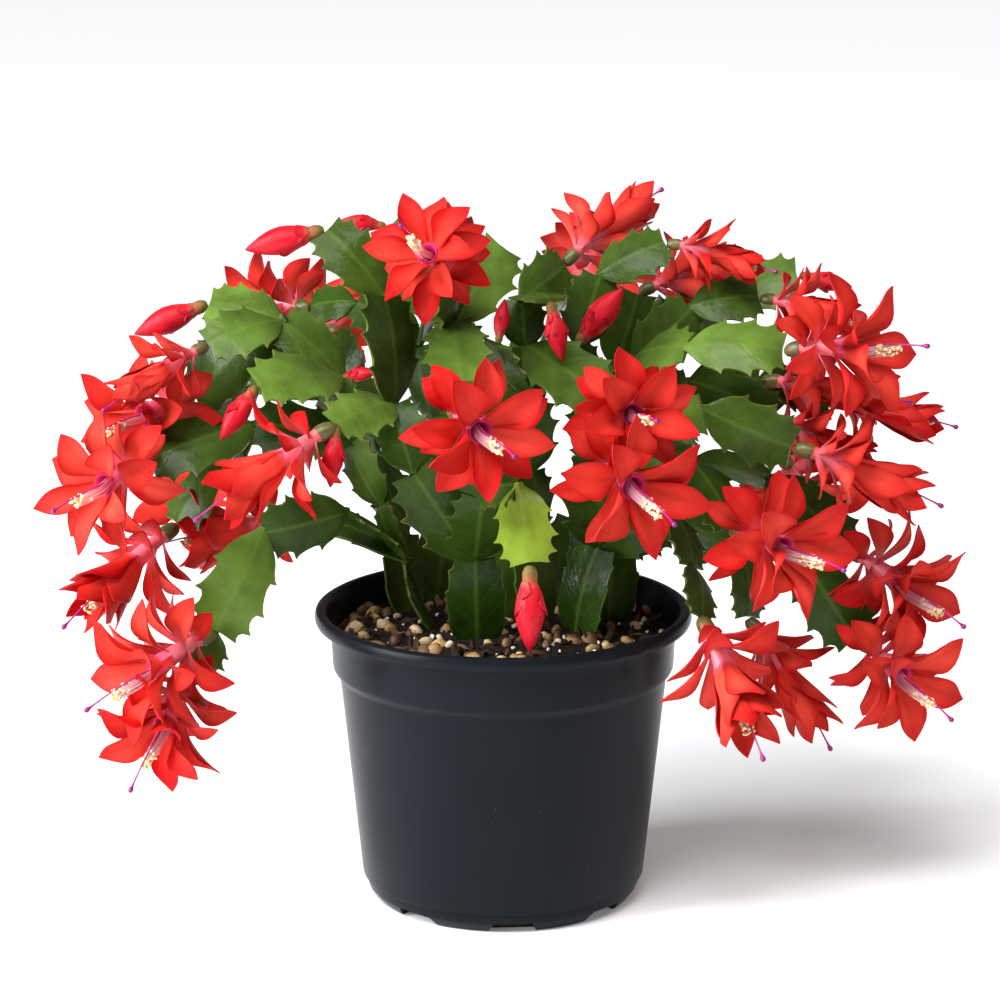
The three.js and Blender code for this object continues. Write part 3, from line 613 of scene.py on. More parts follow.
def pot_plastic_look(sizes):
    """Black moulded plastic: satin, faintly mottled, with a little pale dust"""
    look = Look("pot_plastic", Roughness=0.3, Specular_IOR_Level=0.08)
    mottle = look.noise(38.0, 4.0)
    base = look.mix(mottle, shaded(sizes.colour, 0.8), shaded(sizes.colour, 1.35))
    specks = look.grey(look.cells(330.0), (0.0, 1.0), (0.035, 0.75), (0.06, 0.0))
    patches = look.grey(look.noise(30.0, 2.0), (0.56, 0.0), (0.66, 1.0))
    dust = look.times(specks, patches)
    look.colour(look.mix(dust, base, (0.3, 0.3, 0.29)))
    rubbed = look.noise(22.0, 3.0, look.stretched(look.place, (1.0, 1.0, 0.4)))
    look.roughness(look.grey(rubbed, (0.3, 0.24), (0.7, 0.36)))
    look.bump(look.noise(900.0, 2.0), 0.08, 0.3)
    return look.material


def peat_look():
    """Dark damp peat"""
    look = Look("peat", Roughness=0.95, Specular_IOR_Level=0.2)
    look.colour(look.ramp(
        look.noise(420.0, 6.0), (0.3, (0.003, 0.002, 0.0015)), (0.62, (0.018, 0.01, 0.006)),
        (0.8, (0.055, 0.033, 0.019))))
    look.bump(look.noise(700.0, 6.0), 0.8, 1.0)
    return look.material


def gravel_look():
    """Pebbles from cream through tan to brown"""
    look = Look("gravel", Roughness=0.55)
    stone = look.ramp(
        look.tint(), (0.0, (0.07, 0.035, 0.018)), (0.3, (0.33, 0.17, 0.06)), (0.55, (0.56, 0.36, 0.15)),
        (0.8, (0.68, 0.5, 0.28)), (1.0, (0.78, 0.68, 0.5)))
    spots = look.grey(look.noise(1500.0, 4.0), (0.35, 0.55), (0.6, 1.0))
    look.colour(look.mix(1.0, stone, spots, "MULTIPLY"))
    look.bump(look.noise(1800.0, 4.0), 0.4, 0.4)
    return look.material


def perlite_look():
    """White porous grains"""
    look = Look("perlite", Roughness=0.9)
    look.colour(look.ramp(look.cells(1500.0), (0.0, (0.4, 0.38, 0.34)), (0.4, (0.8, 0.78, 0.73))))
    look.bump(look.cells(1500.0), 0.6, 0.4)
    return look.material


def bark_look():
    """Chips of bark and fibre"""
    look = Look("bark", Roughness=0.85, Specular_IOR_Level=0.25)
    chip = look.ramp(
        look.tint(), (0.0, (0.012, 0.007, 0.004)), (0.5, (0.05, 0.025, 0.012)), (1.0, (0.16, 0.08, 0.035)))
    strands = look.noise(500.0, 5.0, look.stretched(look.place, (1.0, 6.0, 1.0)))
    fibre = look.grey(strands, (0.3, 0.5), (0.7, 1.3))
    look.colour(look.mix(1.0, chip, fibre, "MULTIPLY"))
    look.bump(look.noise(1200.0, 5.0), 0.5, 0.5)
    return look.material


def segment_look(sizes):
    """Waxy green flesh: mottled, with a pale rib, faint side veins and reddish tooth edges; the fresh light
    green also carries painted sheen
    """
    look = Look("leafy_segment", Roughness=0.28, Specular_IOR_Level=0.12)
    look.fleshy(0.06, (0.4, 1.0, 0.2), 1.5)
    middle = tuple((low + high) / 2 * 0.75 for low, high in zip(sizes.dark, sizes.light))
    # Lighter segments take more of the light green, so they carry its painted sheen along with their fresh
    # colour
    flesh = look.ramp(
        look.tint(), (0.0, sizes.dark), (0.5, middle), (0.85, sizes.light), (1.0, (0.17, 0.2, 0.006)))
    cloud = look.grey(look.noise(70.0, 5.0), (0.3, 0.62), (0.7, 1.36))
    flesh = look.mix(1.0, flesh, cloud, "MULTIPLY")
    off_middle = look.off_middle()
    rib = look.grey(off_middle, (0.0, 1.0), (0.02, 0.7), (0.06, 0.0))
    flesh = look.mix(look.times(rib, 0.3), flesh, sizes.light)
    slant = look.maths("ADD", look.times(off_middle, -16.0), look.times(look.along, 26.0))
    vein = look.grey(look.maths("SINE", slant), (0.8, 0.0), (1.0, 1.0))
    flesh = look.mix(look.times(vein, 0.06), flesh, shaded(sizes.light, 0.9))
    edge = look.grey(off_middle, (0.475, 0.0), (0.497, 1.0))
    worn = look.grey(look.noise(110.0, 3.0), (0.48, 0.05), (0.68, 0.6))
    rim = look.mix(worn, (0.12, 0.19, 0.03), (0.26, 0.09, 0.025))
    look.colour(look.mix(look.times(edge, look.maths("ADD", worn, 0.15)), flesh, rim))
    look.roughness(look.grey(look.noise(90.0, 4.0), (0.3, 0.14), (0.75, 0.34)))
    dents = look.times(look.noise(140.0, 2.0), 3.0)
    veined = look.times(vein, -0.2)
    rough = look.maths("ADD", dents, look.noise(700.0, 4.0))
    look.bump(look.maths("ADD", veined, rough), 0.18, 0.6)
    return look.material


def petal_look(name, sizes, pale_share):
    """Thin satiny petals: pink over a share at the root, coral red beyond, finely veined lengthwise, with a
    painted highlight down the middle and painted shade along the fold
    """
    look = Look(name, Roughness=0.3, Specular_IOR_Level=0.06)
    look.fleshy(0.08, (1.0, 0.2, 0.1), 2.0)
    # Each petal is moved at random towards the glow colour, which stands for petals lit through from behind
    red = look.mix(look.tint(), sizes.petal, sizes.glow)
    streak = look.noise(6.0, 3.0, look.stretched(look.flow, (0.6, 9.0, 1.0)))
    off_middle = look.off_middle()
    streaked = look.grey(streak, (0.35, 0.2), (0.7, 1.0))
    # Painted highlight: a streaky band of the glow colour down the middle of each petal, fading from the root
    # towards the tip
    lit = look.times(streaked, look.grey(off_middle, (0.1, 1.0), (0.42, 0.0)))
    lit = look.times(lit, look.grey(look.along, (0.2, 1.0), (0.85, 0.15)))
    body = look.mix(look.times(lit, 0.8), red, sizes.glow)
    deep_tip = look.grey(look.along, (0.6, 0.0), (1.0, 0.8))
    deep_edge = look.grey(off_middle, (0.3, 0.0), (0.5, 0.8))
    body = look.mix(look.maths("MAXIMUM", deep_tip, deep_edge), body, (0.4, 0.003, 0.006))
    root = look.grey(look.along, (0.0, 0.8), (0.4 * pale_share, 0.5), (pale_share, 0.0))
    pale = look.mix(streak, (0.88, 0.27, 0.33), (0.82, 0.06, 0.16))
    # Painted shade: the middle line of each petal is darkened where it folds lengthwise
    fold = look.grey(off_middle, (0.0, 1.0), (0.04, 0.6), (0.14, 0.0))
    body = look.mix(look.times(fold, 0.22), body, (0.36, 0.002, 0.006))
    look.colour(look.mix(root, body, pale))
    vein = look.noise(26.0, 2.0, look.stretched(look.flow, (0.5, 5.0, 1.0)))
    look.bump(vein, 0.5, 0.6)
    return look.material


def tube_look(sizes):
    """The flower tube: white and pink, deepening to magenta in the throat, with painted shade darker still
    deep inside it
    """
    look = Look("flower_tube", Roughness=0.4)
    look.fleshy(0.2, (1.0, 0.3, 0.3), 2.0)
    # The last stop is painted shade: the throat colour darkened where the tube turns down inside
    look.colour(look.ramp(
        look.along, (0.0, (0.6, 0.05, 0.04)), (0.3, (0.76, 0.1, 0.11)), (0.55, (0.8, 0.2, 0.24)),
        (0.76, (0.78, 0.06, 0.22)), (0.88, sizes.throat), (1.0, shaded(sizes.throat, 0.7))))
    look.bump(look.noise(20.0, 2.0, look.stretched(look.flow, (0.5, 5.0, 1.0))), 0.3, 0.4)
    return look.material


def ovary_look():
    """The green-brown cup that a flower sits in"""
    look = Look("ovary", Roughness=0.38)
    look.colour(look.ramp(look.noise(260.0, 3.0), (0.35, (0.06, 0.08, 0.015)), (0.65, (0.15, 0.09, 0.025))))
    look.bump(look.noise(500.0, 3.0), 0.3, 0.4)
    return look.material


def filament_look():
    """Pale pink filaments"""
    look = Look("filament", Roughness=0.35)
    look.fleshy(0.2, (1.0, 0.2, 0.1), 1.0)
    look.colour(look.ramp(
        look.along, (0.0, (0.7, 0.06, 0.25)), (0.35, (0.8, 0.35, 0.48)), (1.0, (0.85, 0.62, 0.6))))
    look.bump(look.noise(900.0), 0.1, 0.2)
    return look.material


def anther_look():
    """Cream pollen"""
    look = Look("anther", Roughness=0.85)
    look.colour(look.ramp(look.noise(1800.0, 3.0), (0.35, (0.7, 0.48, 0.2)), (0.65, (0.9, 0.76, 0.46))))
    look.bump(look.noise(2500.0, 3.0), 0.5, 0.2)
    return look.material


def style_look():
    """Magenta style with a darker knob"""
    look = Look("style", Roughness=0.3)
    look.colour(look.ramp(
        look.along, (0.0, (0.5, 0.03, 0.2)), (0.6, (0.36, 0.008, 0.15)), (1.0, (0.13, 0.003, 0.1))))
    look.bump(look.noise(900.0), 0.15, 0.2)
    return look.material


def bud_look():
    """Wound petals of a bud: crimson pink, paler at the foot, darker towards the point, streaked dark and
    light lengthwise
    """
    look = Look("bud", Roughness=0.3, Specular_IOR_Level=0.16)
    look.fleshy(0.08, (1.0, 0.2, 0.2), 2.0)
    body = look.ramp(
        look.along, (0.0, (0.1, 0.11, 0.02)), (0.16, (0.22, 0.1, 0.03)), (0.26, (0.55, 0.04, 0.04)),
        (0.45, (0.56, 0.008, 0.018)), (0.8, (0.44, 0.004, 0.014)), (1.0, (0.24, 0.002, 0.016)))
    streak = look.noise(9.0, 4.0, look.stretched(look.flow, (0.8, 6.0, 1.0)))
    streaked = look.grey(streak, (0.3, 0.72), (0.7, 1.25))
    look.colour(look.mix(1.0, body, streaked, "MULTIPLY"))
    look.bump(look.noise(24.0, 3.0, look.stretched(look.flow, (0.5, 5.0, 1.0))), 0.3, 0.5)
    return look.material


class Shape:
    """Corners, faces and along-and-across places of a modelled shape, ready to be copied"""

    def __init__(self, points, faces, flow=None):
        self.points = np.asarray(points, float)
        self.faces = [tuple(face) for face in faces]
        self.flow = np.zeros((len(self.points), 2)) if flow is None else np.asarray(flow, float)


def taken_shape(piece, flow=None):
    """Reads a modelled object as a shape and removes it"""
    mesh = piece.data
    points = np.array([vertex.co for vertex in mesh.vertices])
    faces = [tuple(face.vertices) for face in mesh.polygons]
    bpy.data.objects.remove(piece)
    bpy.data.meshes.remove(mesh)
    return Shape(points, faces, flow(points) if flow else None)


class Bundle:
    """Many shapes gathered into the one mesh of a piece"""

    def __init__(self, looks):
        self.looks = looks
        self.points, self.flows, self.tints, self.faces, self.slots = [], [], [], [], []
        self.count = 0

    def add(self, shape, points, look, tint=0.5):
        """Adds a copy of a shape, with its corners at the points given"""
        self.points.append(points)
        self.flows.append(shape.flow)
        self.tints.append(np.full(len(points), tint))
        self.faces += [tuple(corner + self.count for corner in face) for face in shape.faces]
        self.slots += [self.looks.index(look)] * len(shape.faces)
        self.count += len(points)

    def piece(self, name):
        """Makes the mesh, with its looks, its flow as a UV map and its tints"""
        mesh = bpy.data.meshes.new(name)
        mesh.from_pydata(np.concatenate(self.points).tolist(), [], self.faces)
        for look in self.looks:
            mesh.materials.append(look)
        mesh.polygons.foreach_set("material_index", self.slots)
        corners = np.empty(len(mesh.loops), dtype=np.int32)
        mesh.loops.foreach_get("vertex_index", corners)
        layer = mesh.uv_layers.new(name="flow")
        layer.data.foreach_set("uv", np.concatenate(self.flows)[corners].ravel().astype(np.float32))
        tint = mesh.attributes.new("tint", "FLOAT", "POINT")
        tint.data.foreach_set("value", np.concatenate(self.tints).astype(np.float32))
        mesh.validate()
        piece = bpy.data.objects.new(name, mesh)
        bpy.context.collection.objects.link(piece)
        return piece


def deselect_all():
    bpy.ops.object.select_all(action="DESELECT")


def select_only(piece):
    """Makes a piece the one that operators act on"""
    deselect_all()
    piece.select_set(True)
    bpy.context.view_layer.objects.active = piece


def smooth(piece, angle):
    """Shades a piece smooth, except across edges sharper than an angle in degrees"""
    select_only(piece)
    bpy.ops.object.shade_smooth_by_angle(angle=math.radians(angle))


def put_in_place(piece, node):
    """Puts a finished piece in the place of a solid"""
    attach(piece, "root")
    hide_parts(node)


def apply_modifier(piece, kind, **values):
    """Adds a modifier to a piece and applies it"""
    select_only(piece)
    modifier = piece.modifiers.new("shaping", kind)
    for key, value in values.items():
        setattr(modifier, key, value)
    bpy.ops.object.modifier_apply(modifier=modifier.name)


def turned(x, y, angle):
    """Two coordinates after a turn from x towards y"""
    cosine, sine = np.cos(angle), np.sin(angle)
    return x * cosine - y * sine, y * cosine + x * sine


def drawn_up(name, outline, sides):
    """Draws a filled ring up and round an outline of (radius, height) pairs and closes it at the end"""
    deselect_all()
    bpy.ops.mesh.primitive_circle_add(vertices=sides, radius=outline[0][0], fill_type="NGON")
    piece = bpy.context.object
    piece.name = piece.data.name = name
    bpy.ops.object.mode_set(mode="EDIT")
    bpy.ops.mesh.select_all(action="SELECT")
    bpy.ops.transform.translate(value=(0, 0, outline[0][1]))
    for (radius, height), (next_radius, next_height) in zip(outline, outline[1:]):
        lift = (0, 0, next_height - height)
        bpy.ops.mesh.extrude_region_move(TRANSFORM_OT_translate={"value": lift})
        share = next_radius / radius
        bpy.ops.transform.resize(value=(share, share, 1), center_override=(0, 0, next_height))
    bpy.ops.mesh.select_all(action="SELECT")
    bpy.ops.mesh.normals_make_consistent(inside=False)
    bpy.ops.object.mode_set(mode="OBJECT")
    return piece


def drain_cutter(sizes):
    """The wedge-sided blocks that cut the notches round the pot's foot"""
    inner, outer = NOTCH_INNER * MM, NOTCH_OUTER * MM
    cutters = []
    for number in range(sizes.notches):
        deselect_all()
        bpy.ops.mesh.primitive_cube_add(size=1)
        cutter = bpy.context.object
        bpy.ops.object.mode_set(mode="EDIT")
        bpy.ops.transform.resize(value=(NOTCH_WIDTH * MM, outer - inner, 2 * NOTCH_HEIGHT * MM))
        bpy.ops.transform.translate(value=(0, -(inner + outer) / 2, 0))
        bpy.ops.object.mode_set(mode="OBJECT")
        turn = math.radians(NOTCH_TURN + 360 * number / sizes.notches)
        for vertex in cutter.data.vertices:
            if vertex.co.z > 0:
                vertex.co.x *= NOTCH_TOP_WIDTH / NOTCH_WIDTH
            vertex.co.x, vertex.co.y = turned(vertex.co.x, vertex.co.y, turn)
        cutters.append(cutter)
    deselect_all()
    for cutter in cutters:
        cutter.select_set(True)
    bpy.context.view_layer.objects.active = cutters[0]
    bpy.ops.object.join()
    return bpy.context.object


class CACTUS_OT_pot(bpy.types.Operator):
    """Model the nursery pot: foot, tapered wall, collar and rolled lip, with notches round the foot"""

    bl_idname = "cactus.pot"
    bl_label = "Nursery Pot"

    def execute(self, context):
        sizes = context.scene.cactus_pot
        rim, top, collar, base = (
            value / MM for value in (sizes.rim_radius, sizes.rim_top, sizes.collar_radius, sizes.base_radius))
        wall = sizes.wall / MM
        outside = [
            (base - 1, 0), (base - 0.1, 0.15), (base + 0.8, 0.9), (base + 3.2, 4), (base + 3.5, 4.8),
            (base + 3.6, 7.4), (base + 4.4, 8.2), (base + 5.4, 9), (base + 5.6, 10), (60.8, 50), (65.1, 90.8),
            (65.3, 91.9), (66.0, 92.9), (67.2, 94.0), (67.8, 95.0), (68.0, 96.4), (collar - 0.5, 107),
            (collar, 111.2), (collar + 0.3, 112), (collar + 1, 112.5),
        ]
        lip = [
            (rim - 1.6, 112.8), (rim - 0.6, 113.3), (rim - 0.1, 114.3), (rim, 115.4), (rim - 0.1, 116.6),
            (rim - 0.6, 117.7), (rim - 1.6, top - 0.2), (rim - 2.6, top), (rim - 3.7, top - 0.2),
            (rim - 4.4, top - 0.8), (rim - 5.0, top - 2),
        ]
        inside = [
            (collar - wall, 110.8), (collar - 1.2 - wall, 97), (65.2 - wall, 91), (56.5 - wall, 11.5),
            (base - 0.5, wall), (0.5, wall),
        ]
        outline = [(radius * MM, height * MM) for radius, height in outside + lip + inside]
        pot = drawn_up("pot_fine", outline, POT_SIDES)
        cutter = drain_cutter(sizes)
        apply_modifier(pot, "BOOLEAN", operation="DIFFERENCE", object=cutter, solver="EXACT")
        bpy.data.objects.remove(cutter)
        pot.data.materials.clear()
        pot.data.materials.append(pot_plastic_look(sizes))
        smooth(pot, CREASES["pot"])
        put_in_place(pot, "pot")
        return {"FINISHED"}


def model_grain(name, subdivisions, stretch, ragged, seed):
    """One loose grain: a ball pressed out of round"""
    deselect_all()
    bpy.ops.mesh.primitive_ico_sphere_add(subdivisions=subdivisions, radius=1)
    grain = bpy.context.object
    grain.name = name
    bpy.ops.object.mode_set(mode="EDIT")
    bpy.ops.mesh.select_all(action="SELECT")
    bpy.ops.transform.vertex_random(offset=ragged, uniform=0.0, normal=1.0, seed=seed)
    bpy.ops.transform.resize(value=stretch)
    bpy.ops.object.mode_set(mode="OBJECT")
    return taken_shape(grain)


def random_turn(rng):
    """A random turn, as a 3 by 3 matrix"""
    turn, _ = np.linalg.qr(rng.normal(size=(3, 3)))
    return turn * np.sign(np.linalg.det(turn))


def mix_height(x, y, sizes):
    """Height of the uneven top of the mix"""
    share = min(1.0, math.hypot(x, y) / (MIX_RADIUS * MM))
    level = sizes.crown_height + (sizes.edge_height - sizes.crown_height) * share ** 2
    hollows = 0.7 * noise.noise(Vector((x, y, 0)) * 90)
    lumps = 0.5 * noise.noise(Vector((x, y, 3)) * 260)
    return level - MM + (hollows + lumps) * MM


class CACTUS_OT_potting_mix(bpy.types.Operator):
    """Model the potting mix: damp peat with gravel, perlite, bark and crumbs on it"""

    bl_idname = "cactus.potting_mix"
    bl_label = "Potting Mix"

    def execute(self, context):
        sizes = context.scene.cactus_mix
        rng = np.random.default_rng(SEED)
        edge = sizes.edge_height / MM
        # The filling meets the wall a little outside and below its bumpy top
        wide, level = MIX_RADIUS + 0.6, edge - 1.2
        outline = [(49.8, 2), (54.5, 12.2), (63.1, 91.5), (65.7, 97.5), (wide, level)]
        top_rings = [(wide - MIX_RING_STEP * (ring + 1), level) for ring in range(MIX_RINGS)]
        outline = [(radius * MM, height * MM) for radius, height in outline + top_rings]
        body = drawn_up("peat", outline, MIX_SIDES)
        for vertex in body.data.vertices:
            if vertex.co.z > (edge - 2) * MM:
                vertex.co.z = mix_height(vertex.co.x, vertex.co.y, sizes)
        filling = taken_shape(body)
        looks = [peat_look(), gravel_look(), perlite_look(), bark_look()]
        peat, gravel, perlite, bark = looks
        bundle = Bundle(looks)
        bundle.add(filling, filling.points, peat)
        pebbles = [model_grain("pebble", 2, (1.2, 0.95, 0.7), 0.12, seed) for seed in (1, 2, 3)]
        crumb = model_grain("crumb", 1, (1.0, 0.8, 0.7), 0.3, 4)
        chips = [model_grain("chip", 2, (1.6, 0.6, 0.28), 0.25, seed) for seed in (5, 6)]
        feet = [joint_point[rows[0][0]][:2] for rows in STEMS.values()]
        # Number of grains, their shapes, smallest and largest size, look, and how far they stand out
        heaps = [
            (sizes.crumbs, [crumb], (0.7, 1.5), peat, 0.2),
            (sizes.bark, chips, (1.4, 3.0), bark, 0.25),
            (sizes.gravel, pebbles, (1.3, 3.7), gravel, 0.35),
            (sizes.perlite, [crumb], (0.7, 1.5), perlite, 0.45),
        ]
        for number, shapes, (smallest, largest), look, stand in heaps:
            for _ in range(number):
                radius = GRAIN_RADIUS * MM * math.sqrt(rng.uniform(0.0, 1.0))
                angle = rng.uniform(0, 2 * math.pi)
                size = rng.uniform(smallest, largest) * MM
                spot = np.array((radius * math.cos(angle), radius * math.sin(angle)))
                shape = shapes[rng.integers(len(shapes))]
                turn = random_turn(rng)
                tint = rng.uniform(0, 1)
                nearest_foot = min(np.linalg.norm(spot - foot) for foot in feet)
                if radius + size > MIX_RADIUS * MM or nearest_foot < FOOT_ROOM * MM + size:
                    continue
                height = mix_height(*spot, sizes) + stand * size * 0.7
                centre = np.array((*spot, min(height, GRAIN_TOP * MM - 0.8 * size)))
                bundle.add(shape, shape.points * size @ turn.T + centre, look, tint)
        mix = bundle.piece("potting_mix_fine")
        smooth(mix, CREASES["mix"])
        put_in_place(mix, "potting_mix")
        return {"FINISHED"}


class Blade:
    """The place of a flat segment between two joints"""

    def __init__(self, start, end, sides):
        self.start = start
        self.along = end - start
        self.length = np.linalg.norm(self.along)
        self.along = self.along / self.length
        normal = np.sum([SIDES[side] for side in sides], axis=0).astype(float)
        normal /= np.linalg.norm(normal)
        normal -= self.along * normal.dot(self.along)
        self.normal = normal / np.linalg.norm(normal)
        self.across = np.cross(self.normal, self.along)
        self.half_width = SEGMENT_HALF_WIDTH * MM + SEGMENT_WIDENING * self.length

    def placed(self, shape, curl, twist):
        """The corners of the flat model laid along the blade, bowed, curled across and twisted"""
        share, width, lift = shape.points.T
        inside = np.clip(share, 0, 1)
        bow = SEGMENT_BOW * self.length * 4 * inside * (1 - inside)
        aside = width * self.half_width
        lift = lift + bow + curl * width ** 2 * self.half_width * np.sin(math.pi * inside)
        angle = twist * (inside - 0.5) * np.sin(math.pi * inside)
        aside, lift = turned(aside, lift, angle)
        return (self.start + np.outer(share * self.length, self.along)
                + np.outer(aside, self.across) + np.outer(lift, self.normal))


def model_segment(sizes, worn):
    """One flat segment of unit length and half width: a grid drawn out to its outline, given its
    thickness, and swollen along the rib; worn is the share of the teeth that age has smoothed away"""
    deselect_all()
    rows = len(SEGMENT_OUTLINE) - 1
    bpy.ops.mesh.primitive_grid_add(x_subdivisions=rows, y_subdivisions=SEGMENT_COLUMNS, size=2)
    segment = bpy.context.object
    segment.name = "segment"
    shares, teeth, plain = np.array(SEGMENT_OUTLINE).T
    teeth = teeth + worn * (plain - teeth)
    # The grid's rows follow the outline, its sides reach out into the teeth, and its tip is hollowed
    for vertex in segment.data.vertices:
        row = (vertex.co.x + 1) / 2 * rows
        share, tooth, smooth = (np.interp(row, range(rows + 1), values) for values in (shares, teeth, plain))
        side = math.copysign(abs(vertex.co.y) ** 0.85, vertex.co.y)
        blend = abs(side) ** 5
        vertex.co.x = share - 0.03 * max(0.0, share - 0.9) * 10 * (1 - side ** 2)
        vertex.co.y = side * (smooth * (1 - blend) + tooth * blend)
    apply_modifier(segment, "SOLIDIFY", thickness=sizes.edge, offset=0)
    # The flesh swells towards the middle line, most of all along the narrow rib
    for vertex in segment.data.vertices:
        share = min(max(vertex.co.x, 0.0), 1.0)
        outline = max(np.interp(share, shares, plain), 0.05)
        off_rib = min(1.0, abs(vertex.co.y) / outline)
        flesh = 0.62 * (1 - off_rib ** 3)
        rib = 0.38 * math.exp(-(off_rib / 0.13) ** 2)
        full = 0.55 + 0.45 * math.sin(math.pi * min(1.0, 0.12 + share * 0.8))
        swell = (flesh + rib) * full * (sizes.rib - sizes.edge / 2)
        vertex.co.z += math.copysign(swell, vertex.co.z)

    def flow(points):
        side = points[:, 1] / np.interp(points[:, 0], shares, np.minimum(teeth, WIDEST_TOOTH))
        return np.column_stack((np.clip(points[:, 0], 0, 1), 0.5 + 0.5 * np.clip(side, -1, 1)))

    return taken_shape(segment, flow)


class CACTUS_OT_stems(bpy.types.Operator):
    """Model the leafy stems: one toothed segment, copied between each pair of joints"""

    bl_idname = "cactus.stems"
    bl_label = "Leafy Stems"

    def execute(self, context):
        sizes = context.scene.cactus_segment
        rng = np.random.default_rng(STEM_SEED)
        young, old = model_segment(sizes, 0.0), model_segment(sizes, SEGMENT_WEAR)
        look = segment_look(sizes)
        for name, rows in STEMS.items():
            bundle = Bundle([look])
            for joint, parent, _, _, _, sides in rows[1:]:
                blade = Blade(joint_point[parent], joint_point[joint], sides)
                segment = old if parent == rows[0][0] else young
                curl = rng.uniform(*SEGMENT_CURL)
                twist = rng.uniform(-SEGMENT_TWIST, SEGMENT_TWIST)
                points = blade.placed(segment, curl, twist)
                tint = SEGMENT_TINTS.get(joint, rng.uniform(*SEGMENT_TINT))
                bundle.add(segment, points, look, tint)
            stem = bundle.piece(name + "_fine")
            smooth(stem, CREASES["stem"])
            put_in_place(stem, name)
        return {"FINISHED"}


class Flower:
    """The axis of a bloom or bud, and the places round it; angle 0 is uppermost"""

    def __init__(self, joint, compass, rise, arch=0.0):
        """Aims from a joint by compass angle and rise in degrees; arch is how high the tube bends up"""
        compass, rise = math.radians(compass), math.radians(rise)
        self.foot = joint_point[joint]
        self.arch = arch
        self.axis = np.array((
            math.cos(rise) * math.cos(compass), math.cos(rise) * math.sin(compass), math.sin(rise)))
        top = np.array((0.0, -1.0, 0.0)) if abs(self.axis[2]) > 0.96 else np.array((0.0, 0.0, 1.0))
        top -= self.axis * top.dot(self.axis)
        self.top = top / np.linalg.norm(top)
        self.side = np.cross(self.axis, self.top)

    def at(self, radius, angle, height, aside=0.0):
        """Points at radii and angles round the axis"""
        radius, angle, height, aside = np.broadcast_arrays(radius, angle, height, aside)
        cosine, sine = np.cos(angle), np.sin(angle)
        share = np.clip(height / (TUBE_LENGTH * MM), 0, 1)
        up = radius * cosine - aside * sine + self.arch * 4 * share * (1 - share)
        sideways = radius * sine + aside * cosine
        return (self.foot + np.outer(height, self.axis) + np.outer(up, self.top)
                + np.outer(sideways, self.side))

    def around(self, shape, size):
        """The corners of a ringed shape, drawn up round the axis at a size"""
        radius, turn, height = shape.points.T
        return self.at(radius * size, turn, height * size)


def model_petal(sizes):
    """One flat petal of unit length and half width, drawn out to its pointed outline"""
    deselect_all()
    bpy.ops.mesh.primitive_grid_add(x_subdivisions=PETAL_ROWS, y_subdivisions=PETAL_COLUMNS, size=2)
    petal = bpy.context.object
    petal.name = "petal"
    shares, widths = np.array(PETAL_OUTLINE).T
    for vertex in petal.data.vertices:
        share = ((vertex.co.x + 1) / 2) ** 0.85
        vertex.co.x = share
        vertex.co.y *= np.interp(share, shares, widths)
    apply_modifier(petal, "SOLIDIFY", thickness=sizes.petal_thickness, offset=0)

    def flow(points):
        side = points[:, 1] / np.interp(points[:, 0], shares, widths)
        return np.column_stack((points[:, 0], 0.5 + 0.5 * np.clip(side, -1, 1)))

    return taken_shape(petal, flow)


def bent_petal(flower, petal, root, angle, leans, length, half_width, cup, twist):
    """A petal laid from its root on the tube: it leaves at one lean from the axis and reaches another"""
    share, width, lift = petal.points.T
    steps = np.linspace(0, 1, PETAL_STEPS + 1)
    lean = leans[0] + (leans[1] - leans[0]) * steps
    step = length / PETAL_STEPS
    radii = root[0] + np.concatenate(((0,), np.cumsum(np.sin(lean[:-1]) * step)))
    heights = root[1] + np.concatenate(((0,), np.cumsum(np.cos(lean[:-1]) * step)))
    radius, height, slope = (np.interp(share, steps, values) for values in (radii, heights, lean))
    cupped = cup * width ** 2 * half_width * np.sin(math.pi * np.clip(share * 0.9 + 0.05, 0, 1))
    aside, raised = turned(width * half_width, lift + cupped, twist * share)
    return flower.at(radius - np.cos(slope) * raised, angle, height + np.sin(slope) * raised, aside)


def band_faces(rings, sides):
    """The faces between rings of corners that follow each other"""
    faces = []
    for ring in range(rings - 1):
        for side in range(sides):
            near, beyond = ring * sides + side, ring * sides + (side + 1) % sides
            faces.append((near, beyond, beyond + sides, near + sides))
    return faces


def ringed(rings, sides):
    """A closed skin of (height, radius) rings; its points are radius, angle and height round an axis"""
    angles = np.arange(sides) * 2 * math.pi / sides
    levels, widths = np.array(rings).T
    ends = (levels[0], levels[-1])
    radii = np.concatenate((np.repeat(widths, sides), (0.0, 0.0))) * MM
    heights = np.concatenate((np.repeat(levels, sides), ends)) * MM
    turns = np.concatenate((np.tile(angles, len(rings)), (0.0, 0.0)))
    faces = band_faces(len(rings), sides)
    first_pole = len(rings) * sides
    last_pole = first_pole + 1
    last_ring = first_pole - sides
    for side in range(sides):
        beyond = (side + 1) % sides
        faces.append((beyond, side, first_pole))
        faces.append((last_ring + side, last_ring + beyond, last_pole))
    shares = np.concatenate((np.repeat(np.linspace(0, 1, len(rings)), sides), (0.0, 1.0)))
    flow = np.column_stack((shares, turns / (2 * math.pi)))
    return Shape(np.column_stack((radii, turns, heights)), faces, flow)


